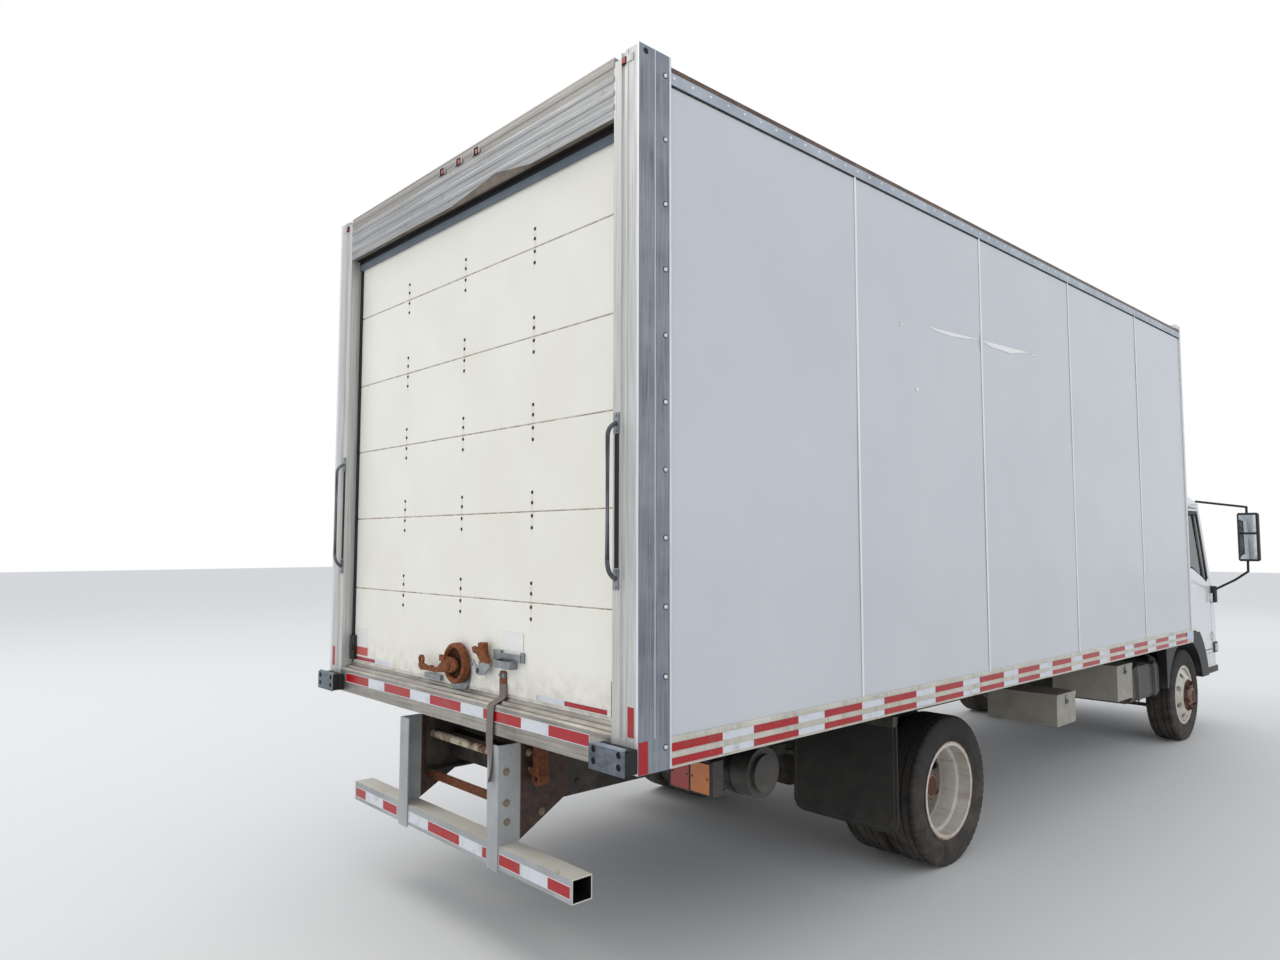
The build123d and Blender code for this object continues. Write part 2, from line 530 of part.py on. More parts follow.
# Roll-up door: slats with V seams, a foot seal and side track strips
door_x = (BODY_REAR + JAMB_DEPTH, BODY_REAR + JAMB_DEPTH + DOOR_THICK)
SEAM = 5.0
door_points = [(door_x[0], BODY_BASE_Z + DOOR_BASE)]
for z in DOOR_SEAMS:
    seam_z = BODY_BASE_Z + z
    door_points.extend([(door_x[0], seam_z - SEAM), (door_x[0] + SEAM, seam_z),
                        (door_x[0], seam_z + SEAM)])
door_points.extend([(door_x[0], BODY_BASE_Z + DOOR_TOP), (door_x[1], BODY_BASE_Z + DOOR_TOP),
                    (door_x[1], BODY_BASE_Z + DOOR_BASE)])
DOOR_HALF = POST_INNER + 20
roll_door = along_y(door_points, (-DOOR_HALF, DOOR_HALF))
foot_seal = block((door_x[0] + 6, door_x[1] - 6), (-POST_INNER, POST_INNER),
                  (BODY_BASE_Z + 148, BODY_BASE_Z + DOOR_BASE))
keep("roll_door", roll_door, foot_seal)
rollers = block((BODY_REAR + 44, BODY_REAR + JAMB_DEPTH), (POST_INNER - 60, POST_INNER - 4),
                (BODY_BASE_Z + 166, BODY_BASE_Z + 300))
guard_y, guard_z = 35.0, BODY_BASE_Z + 236
GUARD_RADIUS = 106.5
dish = revolve(Face(Wire(Polyline((0, 0, 0), (-34, 0, 0), (-46, GUARD_RADIUS, 0),
                                  (-38, GUARD_RADIUS, 0), (-22, 40, 0), (0, 34, 0),
                                  close=True).edges())), Axis.X)
lock = Pos(door_x[0], guard_y, guard_z) * dish
lock = lock + block((door_x[0] - 22, door_x[0] - 10), (guard_y, guard_y + 345),
                    (guard_z - 12, guard_z + 12))
eye_y = guard_y + 332
lock = lock + rod((door_x[0] - 26, eye_y, guard_z), (door_x[0], eye_y, guard_z), 30)
keeper = block((door_x[0] - 10, door_x[0]), (-213, -190), (BODY_BASE_Z + 229, BODY_BASE_Z + 364))
keeper = keeper + block((door_x[0] - 40, door_x[0]), (-208, -195),
                        (BODY_BASE_Z + 270, BODY_BASE_Z + 330))
cup_z = BODY_BASE_Z + 340
cup = block((door_x[0] - 4, door_x[0]), (-498, -288), (cup_z - 12, cup_z + 12))
cup = cup + block((door_x[0] - 42, door_x[0]), (-462, -337), (cup_z - 64, cup_z))
cup = cup - block((door_x[0] - 38, door_x[0] - 4), (-456, -343), (cup_z - 58, cup_z + 1))
strap_plate = block((door_x[0] - 6, door_x[0]), (-385, -330),
                    (BODY_BASE_Z + 166, BODY_BASE_Z + 257))
keep("door_lock", lock, keeper, cup, strap_plate, both_sides(rollers))

# Hanging webbing: from its plate over the sill, then down behind the right upright's edge
STRAP_WIDTH = 50.0
STRAP_THICK = 4.0
STRAP_Y = -367.0
STRAP_END = 750.0
strap_path = [(door_x[0] - 6, BODY_BASE_Z + 200), (door_x[0] - 8, BODY_BASE_Z + 152),
              (BODY_REAR - 3, BODY_BASE_Z + 130), (BODY_REAR - 9, BODY_BASE_Z + 110),
              (BODY_REAR - 12, BODY_BASE_Z), (BODY_REAR - 16, STRAP_END)]
strap_back = [(x - STRAP_THICK, z + STRAP_THICK * 0.4) for x, z in strap_path]
strap = along_y(strap_path + strap_back[::-1], (STRAP_Y - STRAP_WIDTH / 2,
                                                STRAP_Y + STRAP_WIDTH / 2))
keep("pull_strap", strap)

# Grab handles on the posts
HANDLE_Y = POST_INNER + 23
HANDLE_RADIUS = 8.5
HANDLE_OFF = 45.0
handle_x = BODY_REAR + 3
HANDLE_Z = (BODY_BASE_Z + 681, BODY_BASE_Z + 752, BODY_BASE_Z + 1203, BODY_BASE_Z + 1256)
bar_x = handle_x - HANDLE_OFF
handle = rod((bar_x, HANDLE_Y, HANDLE_Z[1]), (bar_x, HANDLE_Y, HANDLE_Z[2]), HANDLE_RADIUS)
for foot_z, end_z in ((HANDLE_Z[0], HANDLE_Z[1]), (HANDLE_Z[3], HANDLE_Z[2])):
    handle = handle + rod((handle_x - 4, HANDLE_Y, foot_z), (bar_x, HANDLE_Y, end_z), HANDLE_RADIUS)
    handle = handle + Pos(bar_x, HANDLE_Y, end_z) * Sphere(HANDLE_RADIUS)
    handle = handle + block((handle_x - 5, handle_x), (HANDLE_Y - 14, HANDLE_Y + 14),
                            (foot_z - 38, foot_z + 38))
handle = handle - block((handle_x, handle_x + 30), (HANDLE_Y - 40, HANDLE_Y + 40),
                        (HANDLE_Z[0] - 50, HANDLE_Z[3] + 50))
keep("grab_handles", both_sides(handle))

# Dock bumpers: rubber blocks behind galvanised plates
PLATE_THICK = 6.0
DOCK_Y = (POST_INNER - 48, POST_INNER + 143)
DOCK_Z = (BODY_BASE_Z + 5, BODY_BASE_Z + 98)
plate_x = BODY_REAR - DOCK_REACH
rubber = block((plate_x + PLATE_THICK, BODY_REAR), (DOCK_Y[0] + 4, DOCK_Y[1] - 2),
               (DOCK_Z[0] + 3, DOCK_Z[1] - 6))
rubber = rubber - block((plate_x + 30, plate_x + 33), (DOCK_Y[0], DOCK_Y[0] + 12), DOCK_Z)
DOCK_HOLE = 12.5
HOLE_Y = (DOCK_Y[0] + 28, DOCK_Y[0] + 164)
HOLE_Z = (DOCK_Z[0] + 31, DOCK_Z[0] + 73)
plate_points = [(plate_x, DOCK_Z[0]), (plate_x + PLATE_THICK, DOCK_Z[0]),
                (plate_x + PLATE_THICK, DOCK_Z[1] - 6), (plate_x + PLATE_THICK + 12, DOCK_Z[1] + 2),
                (plate_x + 12, DOCK_Z[1] + 5), (plate_x, DOCK_Z[1] - 4)]
plate = along_y(plate_points, DOCK_Y)
rubber = rubber - block((plate_x, plate_x + PLATE_THICK + 16), (DOCK_Y[0], DOCK_Y[1]),
                        (DOCK_Z[1] - 10, DOCK_Z[1] + 6))
for y in HOLE_Y:
    for z in HOLE_Z:
        plate = plate - rod((plate_x - 1, y, z), (plate_x + PLATE_THICK + 1, y, z), DOCK_HOLE)
keep("dock_rubbers", both_sides(rubber))
keep("dock_plates", both_sides(plate))

# Underride guard and what carries it
GUARD_Z = (406.0, 499.0)
GUARD_HALF = 929.0
GUARD_WALL = 6.0
guard_x = (BODY_REAR, BODY_REAR + 98)
tube = block(guard_x, (-GUARD_HALF, GUARD_HALF), GUARD_Z)
tube = tube - block((guard_x[0] + GUARD_WALL, guard_x[1] - GUARD_WALL),
                    (-GUARD_HALF - 1, GUARD_HALF + 1),
                    (GUARD_Z[0] + GUARD_WALL, GUARD_Z[1] - GUARD_WALL))
UPRIGHT_Y = (350.0, FRAME_SIDE + 8)
upright = block((BODY_REAR - 6, BODY_REAR), UPRIGHT_Y, (GUARD_Z[0] - 12, FRAME_TOP + 60))
web_points = [(BODY_REAR, GUARD_Z[1]), (BODY_REAR + 98, GUARD_Z[1]),
              (RAIL_X[0] + 240, FRAME_BASE + 20), (RAIL_X[0] + 240, FRAME_TOP - 20),
              (BODY_REAR + 98, FRAME_TOP + 60), (BODY_REAR, FRAME_TOP + 60)]
upright = upright + along_y(web_points, (FRAME_SIDE, FRAME_SIDE + 8))
keep("underride_guard", tube, both_sides(upright))
brace_x = (RAIL_X[0] + 20, RAIL_X[0] + 70)
brace = block(brace_x, (-FRAME_SIDE, FRAME_SIDE), (FRAME_BASE - 42, FRAME_BASE - 34))
brace = brace + block((brace_x[0], brace_x[0] + 8), (-FRAME_SIDE, FRAME_SIDE),
                      (FRAME_BASE - 42, FRAME_BASE))
cross = rod((RAIL_X[0] + 40, -WEB_Y, 806), (RAIL_X[0] + 40, WEB_Y, 806), 19)
EYE_Y = FRAME_SIDE + 60
eye = rod((brace_x[0], EYE_Y, 758), (brace_x[1], EYE_Y, 758), 31)
eye = eye + block(brace_x, (FRAME_SIDE + 8, EYE_Y), (770, 800))
eye = eye + block(brace_x, (EYE_Y - 22, EYE_Y + 22), (770, BODY_BASE_Z))
eye = eye - rod((brace_x[0] - 1, EYE_Y, 758), (brace_x[1] + 1, EYE_Y, 758), 12)
keep("tail_braces", brace, cross, both_sides(eye))

# Lamps under the tail and on the frame's top edge
TAIL_LAMP_X = BODY_REAR + 430
TAIL_LAMP_Y = BODY_SIDE - 275
lamp_frame = block((TAIL_LAMP_X, TAIL_LAMP_X + 60), (TAIL_LAMP_Y, TAIL_LAMP_Y + 230),
                   (BODY_BASE_Z - 165, BODY_BASE_Z - 30))
hanger = block((TAIL_LAMP_X + 20, TAIL_LAMP_X + 28), (TAIL_LAMP_Y + 70, TAIL_LAMP_Y + 160),
               (BODY_BASE_Z - 30, DECK_BASE))
lamp_frame = lamp_frame - block((TAIL_LAMP_X - 1, TAIL_LAMP_X + 6),
                                (TAIL_LAMP_Y + 8, TAIL_LAMP_Y + 222),
                                (BODY_BASE_Z - 157, BODY_BASE_Z - 38))
lamp_hangers = both_sides(lamp_frame + hanger)
red = block((TAIL_LAMP_X - 8, TAIL_LAMP_X + 6), (TAIL_LAMP_Y + 10, TAIL_LAMP_Y + 110),
            (BODY_BASE_Z - 155, BODY_BASE_Z - 40))
amber = block((TAIL_LAMP_X - 8, TAIL_LAMP_X + 6), (TAIL_LAMP_Y + 120, TAIL_LAMP_Y + 220),
              (BODY_BASE_Z - 155, BODY_BASE_Z - 40))
keep("red_lamps", both_sides(red), header_lamps)
keep("amber_lamps", both_sides(amber))

# Mud flaps behind the twin wheels
FLAP_X = BODY_REAR + 1760
FLAP_Y = (TWIN_INNER_Y - 138, BODY_SIDE - 55)
FLAP_BASE = 350.0
flap_points = [(FLAP_Y[0], BODY_BASE_Z - 30), (FLAP_Y[0], FLAP_BASE + 50),
               (FLAP_Y[0] + 18, FLAP_BASE + 15), (FLAP_Y[0] + 55, FLAP_BASE),
               (FLAP_Y[1] - 55, FLAP_BASE), (FLAP_Y[1] - 18, FLAP_BASE + 15),
               (FLAP_Y[1], FLAP_BASE + 50), (FLAP_Y[1], BODY_BASE_Z - 30)]
flap = along_x(flap_points, (FLAP_X, FLAP_X + 10))
flap_bar = block((FLAP_X - 30, FLAP_X), (FRAME_SIDE, FLAP_Y[1]),
                 (BODY_BASE_Z - 80, BODY_BASE_Z - 30))
flap_bar = flap_bar + block((FLAP_X + 10, FLAP_X + 14), (FLAP_Y[0], FLAP_Y[1]),
                            (BODY_BASE_Z - 70, BODY_BASE_Z - 30))
flap_bar = flap_bar - block((FLAP_X - 40, FLAP_X + 20), (FRAME_SIDE - 5, FRAME_SIDE),
                            (BODY_BASE_Z - 100, BODY_BASE_Z))
keep("mud_flaps", both_sides(flap))
keep("tail_brackets", both_sides(flap_bar), lamp_hangers)

# Tanks and boxes between the axles
TANK_X = (FRONT_AXLE_X - 1262, FRONT_AXLE_X - 582)
TANK_Y = (FRAME_SIDE + 55, BODY_SIDE - 310)
TANK_Z = (460.0, 760.0)
CUT = 45.0


def tank_section(y, z, cut):
    """Rounded-corner profile for a tank seen from the end."""
    return [(y[0], z[0] + cut), (y[0] + cut * 0.3, z[0] + cut * 0.3), (y[0] + cut, z[0]),
            (y[1] - cut, z[0]), (y[1] - cut * 0.3, z[0] + cut * 0.3), (y[1], z[0] + cut),
            (y[1], z[1] - cut), (y[1] - cut * 0.3, z[1] - cut * 0.3), (y[1] - cut, z[1]),
            (y[0] + cut, z[1]), (y[0] + cut * 0.3, z[1] - cut * 0.3), (y[0], z[1] - cut)]


tank = along_x(tank_section(TANK_Y, TANK_Z, CUT), TANK_X)
for x in (TANK_X[0] + 120, TANK_X[1] - 160):
    tank = tank + block((x, x + 40), (FRAME_SIDE, TANK_Y[0] + 10), (FRAME_BASE + 10, TANK_Z[1] - 50))
tank = tank + rod((TANK_X[0] + 560, TANK_Y[1] - 60, TANK_Z[1] - 40),
                  (TANK_X[0] + 560, TANK_Y[1] - 20, TANK_Z[1] + 40), 40)
keep("fuel_tank", other_side(tank))
BOX_TABLE = (
    # rear and front behind the front axle, base, top
    (2749.0, 2422.0, 490.0, 706.0),
    (1596.0, 1265.0, 526.0, 801.0),
)
boxes = []
BOX_Y = (FRAME_SIDE + 75, BODY_SIDE - 295)
for rear, front, base, top in BOX_TABLE:
    box_x = (FRONT_AXLE_X - rear, FRONT_AXLE_X - front - 6)
    shape = block(box_x, BOX_Y, (base, top))
    tray = block((box_x[0] + 40, box_x[1] - 40), (FRAME_SIDE, BOX_Y[0]), (FRAME_BASE + 16, top - 20))
    lid = block((box_x[0] - 4, box_x[1] + 4), (BOX_Y[0] - 4, BOX_Y[1] + 4), (top - 24, top + 3))
    boxes.append(other_side(shape + tray + lid))
keep("equipment_boxes", boxes)
AIR_X = BODY_REAR + 1000
AIR_RADIUS = 112.0
AIR_Z = 742.0
AIR_Y = (FRAME_SIDE + 45, BODY_SIDE - 265)
air_tank = rod((AIR_X, AIR_Y[0], AIR_Z), (AIR_X, AIR_Y[1], AIR_Z), AIR_RADIUS)
air_tank = air_tank + rod((AIR_X, AIR_Y[0] - 20, AIR_Z), (AIR_X, AIR_Y[1] + 20, AIR_Z), AIR_RADIUS - 30)
for y in (AIR_Y[0] + 90, AIR_Y[1] - 130):
    air_tank = air_tank + block((AIR_X - 20, AIR_X + 20), (y, y + 30), (AIR_Z, DECK_BASE))
air_tank = air_tank + block((AIR_X - 30, AIR_X + 30), (FRAME_SIDE, AIR_Y[0] + 10),
                            (AIR_Z - 42, AIR_Z + 38))
keep("air_tank", other_side(air_tank))
MUFFLER_Y = FRAME_SIDE + 215
MUFFLER_X = REAR_AXLE_X + 1765
MUFFLER_Z = 640.0
muffler = rod((MUFFLER_X, MUFFLER_Y, MUFFLER_Z), (MUFFLER_X + 1100, MUFFLER_Y, MUFFLER_Z), 125)
muffler = muffler + rod((MUFFLER_X - 600, MUFFLER_Y, MUFFLER_Z),
                        (MUFFLER_X + 1500, MUFFLER_Y, MUFFLER_Z), 42)
for x in (MUFFLER_X + 150, MUFFLER_X + 900):
    muffler = muffler + block((x, x + 40), (FRAME_SIDE, MUFFLER_Y - 60), (660, 720))
keep("exhaust", muffler)

# Cab: the shell is a ruled stack of plan outlines
BOW = 55.0
CORNER_RADIUS = 110.0
CAB_STACK = (
    # height, front from the cab's rear, half width
    (CAB_SKIRT_Z, CAB_LENGTH - 15, CAB_SIDE),
    (1044.0, CAB_LENGTH, CAB_SIDE),
    (BELT_Z, CAB_LENGTH - 72, CAB_SIDE),
    (ROOF_LINE_Z, CAB_LENGTH - 275, CAB_SIDE - 35),
    (CAB_TOP_Z - 25, CAB_LENGTH - 360, CAB_SIDE - 85),
    (CAB_TOP_Z, CAB_LENGTH - 460, CAB_SIDE - 150),
)


def plan_outline(z, front, half, rear, bow, radius):
    """Plan face of the cab: straight rear and sides, rounded corners, bowed front."""
    side_end = front - bow - radius
    nose_y = half - radius
    nose_x = front - bow * (nose_y / half) ** 2
    mid = (nose_x - radius * 0.293, half - radius * 0.293)
    outline = [(rear, -half), (side_end, -half), (mid[0], -mid[1]), (nose_x, -nose_y),
               (front, 0), (nose_x, nose_y), mid, (side_end, half), (rear, half)]
    p = [(CAB_REAR + x, y, z) for x, y in outline]
    edges = [Line(p[0], p[1]), ThreePointArc(p[1], p[2], p[3]), ThreePointArc(p[3], p[4], p[5]),
             ThreePointArc(p[5], p[6], p[7]), Line(p[7], p[8]), Line(p[8], p[0])]
    return Face(Wire(edges))


def cab_form(inset):
    """Solid form of the cab, drawn in by inset on every side but the bottom."""
    outlines = []
    for z, front, half in CAB_STACK:
        height = z - inset if z == CAB_TOP_Z else z
        if height < z:
            front = front + 12
        outlines.append(plan_outline(height, front - inset, half - inset, inset, BOW,
                                     CORNER_RADIUS - inset * 0.6))
    if inset > 20:
        outlines[-2] = plan_outline(CAB_TOP_Z - inset - 12, CAB_LENGTH - 360 - inset, CAB_SIDE - 85 - inset,
                                    inset, BOW, CORNER_RADIUS - inset * 0.6)
    return loft(outlines, ruled=True)


outer_form = cab_form(0)
inner_form = cab_form(CAB_WALL)
shell = outer_form - inner_form
WIDE = (-CAB_WIDTH, CAB_WIDTH)


def cab_u(points):
    """Side-view points given from the cab's rear, as row stations."""
    return [(CAB_REAR + u, z) for u, z in points]


def side_prism(points, y):
    return along_y(cab_u(points), y)


def wheel_disc(radius, y):
    return rod((FRONT_AXLE_X, y[0], AXLE_Z), (FRONT_AXLE_X, y[1], AXLE_Z), radius)


arch_cut = wheel_disc(FENDER_RADIUS, WIDE) & block((CAB_REAR - 10, NOSE_X), WIDE,
                                                   (0, DOOR_SILL_Z))
low_rear = block((CAB_REAR - 10, FRONT_AXLE_X), WIDE, (0, DOOR_SILL_Z))
shell = shell - arch_cut - low_rear

# Door opening, with its front edge leaning back above the belt
gap = DOOR_GAP
opening_points = [(DOOR_REAR_U - gap, DOOR_SILL_Z), (FRONT_AXLE_X - CAB_REAR, DOOR_SILL_Z),
                  (FRONT_AXLE_X - CAB_REAR, DOOR_FOOT_Z - gap), (DOOR_FRONT_U + gap, DOOR_FOOT_Z - gap),
                  (DOOR_FRONT_U + gap, BELT_Z), (DOOR_TOP_FRONT_U + gap, DOOR_TOP_Z + gap),
                  (DOOR_REAR_U - gap, DOOR_TOP_Z + gap)]
leaf_points = [(DOOR_REAR_U, DOOR_SILL_Z + gap), (FRONT_AXLE_X - CAB_REAR, DOOR_SILL_Z + gap),
               (FRONT_AXLE_X - CAB_REAR, DOOR_FOOT_Z), (DOOR_FRONT_U, DOOR_FOOT_Z),
               (DOOR_FRONT_U, BELT_Z), (DOOR_TOP_FRONT_U, DOOR_TOP_Z), (DOOR_REAR_U, DOOR_TOP_Z)]
WINDOW_REAR_U = DOOR_REAR_U + 84
window_points = [(WINDOW_REAR_U, 1545), (WINDOW_REAR_U + 286, 1543), (DOOR_FRONT_U - 95, 1405),
                 (DOOR_FRONT_U - 82, 1425), (DOOR_FRONT_U - 228, 2050), (WINDOW_REAR_U, 2050)]
LEFT = (CAB_SIDE - 110, CAB_SIDE + 60)
opening = side_prism(opening_points, LEFT)
door_cut = wheel_disc(FENDER_RADIUS + gap + 2, WIDE) & block(
    (CAB_REAR, NOSE_X), WIDE, (0, DOOR_SILL_Z + gap))
door_leaf = shell & side_prism(leaf_points, LEFT)
door_leaf = door_leaf - door_cut
window = side_prism(window_points, LEFT)
glass_form = cab_form(20) - cab_form(26)
door_glass = glass_form & window
door_leaf = door_leaf - window

# Hinges: lugs and pins on the cab, knuckles on the door
HINGE_U = DOOR_FRONT_U + gap / 2
HINGE_Y = CAB_SIDE + HINGE_PROUD
HINGE_Z = (860.0, 1240.0)
KNUCKLE_RADIUS = 14.0
hinge_x = CAB_REAR + HINGE_U
fixed_hinges = []
door_hinges = []
hinge_reliefs = []
for z in HINGE_Z:
    relief = rod((hinge_x, HINGE_Y, z - 46), (hinge_x, HINGE_Y, z + 46), KNUCKLE_RADIUS + 5)
    hinge_reliefs.append(relief)
    sleeve = rod((hinge_x, HINGE_Y, z - 20), (hinge_x, HINGE_Y, z + 20), KNUCKLE_RADIUS)
    sleeve = sleeve + block((hinge_x - 40, hinge_x), (HINGE_Y - 8, HINGE_Y + 4), (z - 20, z + 20))
    sleeve = sleeve - rod((hinge_x, HINGE_Y, z - 30), (hinge_x, HINGE_Y, z + 30),
                          HINGE_PIN_RADIUS + PIECE_GAP)
    door_hinges.append(sleeve)
    pin = rod((hinge_x, HINGE_Y, z - 41), (hinge_x, HINGE_Y, z + 41), HINGE_PIN_RADIUS)
    for low in (z - 41, z + 21):
        pin = pin + rod((hinge_x, HINGE_Y, low), (hinge_x, HINGE_Y, low + 20), KNUCKLE_RADIUS)
        pin = pin + block((hinge_x, hinge_x + 40), (HINGE_Y - 8, HINGE_Y + 4), (low, low + 20))
    fixed_hinges.append(pin)
for relief in hinge_reliefs:
    door_leaf = door_leaf - relief
for sleeve in door_hinges:
    door_leaf = door_leaf + sleeve
HANDLE_U = DOOR_REAR_U + 60
pull = block((CAB_REAR + HANDLE_U, CAB_REAR + HANDLE_U + 150), (CAB_SIDE - 5, CAB_SIDE + 22),
             (1240, 1262))
pull = pull - block((CAB_REAR + HANDLE_U + 20, CAB_REAR + HANDLE_U + 130),
                    (CAB_SIDE, CAB_SIDE + 14), (1230, 1270))
door_leaf = door_leaf + pull
keep("cab_door_left", door_leaf)
keep("cab_door_right", other_side(door_leaf))
keep("door_glass_left", door_glass)
keep("door_glass_right", other_side(door_glass))

# Windscreen, rear window, grille and headlamp openings
SCREEN_HALF = (CAB_SIDE - 130, CAB_SIDE - 185)
SCREEN_Z = (1395.0, 2100.0)
GRILLE_HALF = CAB_SIDE - 380
GRILLE_Z = (1060.0, 1240.0)
LAMP_Y = (CAB_SIDE - 360, CAB_SIDE - 100)
LAMP_Z = (800.0, 940.0)
REAR_WINDOW_HALF = CAB_SIDE - 520
REAR_WINDOW_Z = (1480.0, 1980.0)
front_x = (NOSE_X - 470, NOSE_X + 20)
rear_x = (CAB_REAR - 5, CAB_REAR + 80)
screen = along_x([(-SCREEN_HALF[0], SCREEN_Z[0]), (SCREEN_HALF[0], SCREEN_Z[0]),
                  (SCREEN_HALF[1], SCREEN_Z[1]), (-SCREEN_HALF[1], SCREEN_Z[1])], front_x)
grille_cut = block(front_x, (-GRILLE_HALF, GRILLE_HALF), GRILLE_Z)
lamp_cut = block(front_x, LAMP_Y, LAMP_Z)
rear_window = block(rear_x, (-REAR_WINDOW_HALF, REAR_WINDOW_HALF), REAR_WINDOW_Z)
keep("cab_glass", glass_form & screen, glass_form & rear_window)
grille = (cab_form(10) - cab_form(40)) & grille_cut
SLATS = 4
slat_pitch = (GRILLE_Z[1] - GRILLE_Z[0]) / SLATS
for i in range(SLATS):
    z = GRILLE_Z[0] + (i + 0.5) * slat_pitch
    slot = block((NOSE_X - 260, NOSE_X + 20), (40 - GRILLE_HALF, GRILLE_HALF - 40), (z - 13, z + 13))
    grille = grille - (slot - cab_form(26))
keep("grille", grille)
lamp = (cab_form(6) - cab_form(44)) & lamp_cut
keep("headlamps", both_sides(lamp))
front_cut = [screen, grille_cut, lamp_cut, other_side(lamp_cut)]

front_points = [(DOOR_FRONT_U + gap, CAB_SKIRT_Z - 5), (DOOR_FRONT_U + gap, BELT_Z),
                (DOOR_TOP_FRONT_U + gap, DOOR_TOP_Z + gap), (DOOR_TOP_FRONT_U + gap, ROOF_LINE_Z),
                (CAB_LENGTH + 20, ROOF_LINE_Z), (CAB_LENGTH + 20, CAB_SKIRT_Z - 5)]
cab_front = shell & side_prism(front_points, WIDE)
skirt_points = [(FRONT_AXLE_X - CAB_REAR, CAB_SKIRT_Z), (DOOR_FRONT_U + gap, CAB_SKIRT_Z),
                (DOOR_FRONT_U + gap, DOOR_FOOT_Z - gap),
                (FRONT_AXLE_X - CAB_REAR, DOOR_FOOT_Z - gap)]
cab_front = cab_front + (shell & side_prism(skirt_points, WIDE))
for cut in front_cut:
    cab_front = cab_front - cut
for relief in hinge_reliefs:
    cab_front = cab_front - relief - other_side(relief)
for pin in fixed_hinges:
    cab_front = cab_front + pin + other_side(pin)
keep("cab_front", cab_front)

side_zone = [(CAB_WALL, DOOR_SILL_Z), (DOOR_FRONT_U + gap, DOOR_SILL_Z),
             (DOOR_FRONT_U + gap, BELT_Z), (DOOR_TOP_FRONT_U + gap, DOOR_TOP_Z + gap),
             (DOOR_TOP_FRONT_U + gap, ROOF_LINE_Z), (CAB_WALL, ROOF_LINE_Z)]
cab_side = shell & side_prism(side_zone, LEFT)
cab_side = cab_side - opening
keep("cab_sides", both_sides(cab_side))
cab_back = shell & block((CAB_REAR, CAB_REAR + CAB_WALL), WIDE, (DOOR_SILL_Z, ROOF_LINE_Z))
HUMP_WALL = 28.0
hump_way = block((CAB_REAR - 5, CAB_REAR + CAB_WALL + 5), (HUMP_WALL - HUMP_HALF, HUMP_HALF - HUMP_WALL),
                 (DOOR_SILL_Z - 5, HUMP_Z - HUMP_WALL))
keep("cab_back", cab_back - rear_window - hump_way)
keep("cab_roof", shell & block((CAB_REAR, NOSE_X), WIDE, (ROOF_LINE_Z, CAB_TOP_Z + 5)))

# Cab floor with the engine hump, its rests and the tilt hinge
FLOOR_Z = (DOOR_SILL_Z, CAB_FLOOR_Z)
HUMP_U = CAB_LENGTH - 570
floor_pan = inner_form & block((CAB_REAR + CAB_WALL, NOSE_X), WIDE, FLOOR_Z)
hump = block((CAB_REAR + CAB_WALL, CAB_REAR + HUMP_U), (-HUMP_HALF, HUMP_HALF),
             (FLOOR_Z[0], HUMP_Z))
hump_inside = block((CAB_REAR + CAB_WALL - 5, CAB_REAR + HUMP_U - HUMP_WALL),
                    (HUMP_WALL - HUMP_HALF, HUMP_HALF - HUMP_WALL),
                    (FLOOR_Z[0] - 5, HUMP_Z - HUMP_WALL))
cab_floor = floor_pan + hump - hump_inside
tilt_x = NOSE_X - TILT_BACK
EAR_Y = (WEB_Y - 22, WEB_Y)
tilt_tube = rod((tilt_x, -EAR_Y[0] + 5, TILT_Z), (tilt_x, EAR_Y[0] - 5, TILT_Z), 22)
tilt_tube = tilt_tube + rod((tilt_x, -EAR_Y[1], TILT_Z), (tilt_x, EAR_Y[1], TILT_Z),
                            TILT_PIN_RADIUS)
for sign in (-1, 1):
    y = sorted((sign * (EAR_Y[0] - 55), sign * (EAR_Y[0] - 25)))
    arm_points = [(tilt_x - 110, FLOOR_Z[0]), (tilt_x - 40, TILT_Z - 24), (tilt_x + 16, TILT_Z - 24),
                  (tilt_x + 30, FLOOR_Z[0])]
    tilt_tube = tilt_tube + along_y(arm_points, y)
cab_floor = cab_floor + tilt_tube
ear_points = [(RAIL_X[1] - 140, FRAME_TOP - 100), (tilt_x + 22, TILT_Z - 26),
              (tilt_x + 28, TILT_Z), (tilt_x + 18, TILT_Z + 22), (tilt_x - 20, TILT_Z + 26),
              (RAIL_X[1] - 140, FRAME_TOP - RAIL_WALL - 2)]
ear = along_y(ear_points, EAR_Y) - rod((tilt_x, EAR_Y[0] - 5, TILT_Z), (tilt_x, EAR_Y[1] + 5, TILT_Z),
                                       TILT_PIN_RADIUS + PIECE_GAP)
rest = block((CAB_REAR + 90, CAB_REAR + 170), (FLANGE_Y, FRAME_SIDE),
             (FRAME_TOP, FLOOR_Z[0] - PIECE_GAP))
for shape in both_sides(ear) + both_sides(rest):
    ladder = ladder + shape
keep("ladder_frame", ladder)

# Front bumper with its step ends, on the frame
BUMPER_Z = (510.0, 672.0, 700.0)
BUMPER_WALL = 12.0


def bumper_form(inset):
    outlines = [plan_outline(z, CAB_LENGTH - 15 - inset, CAB_SIDE - inset, CAB_LENGTH - 660 - inset,
                             BOW, 150.0 - inset * 0.6) for z in (BUMPER_Z[0], BUMPER_Z[2])]
    return loft(outlines, ruled=True)


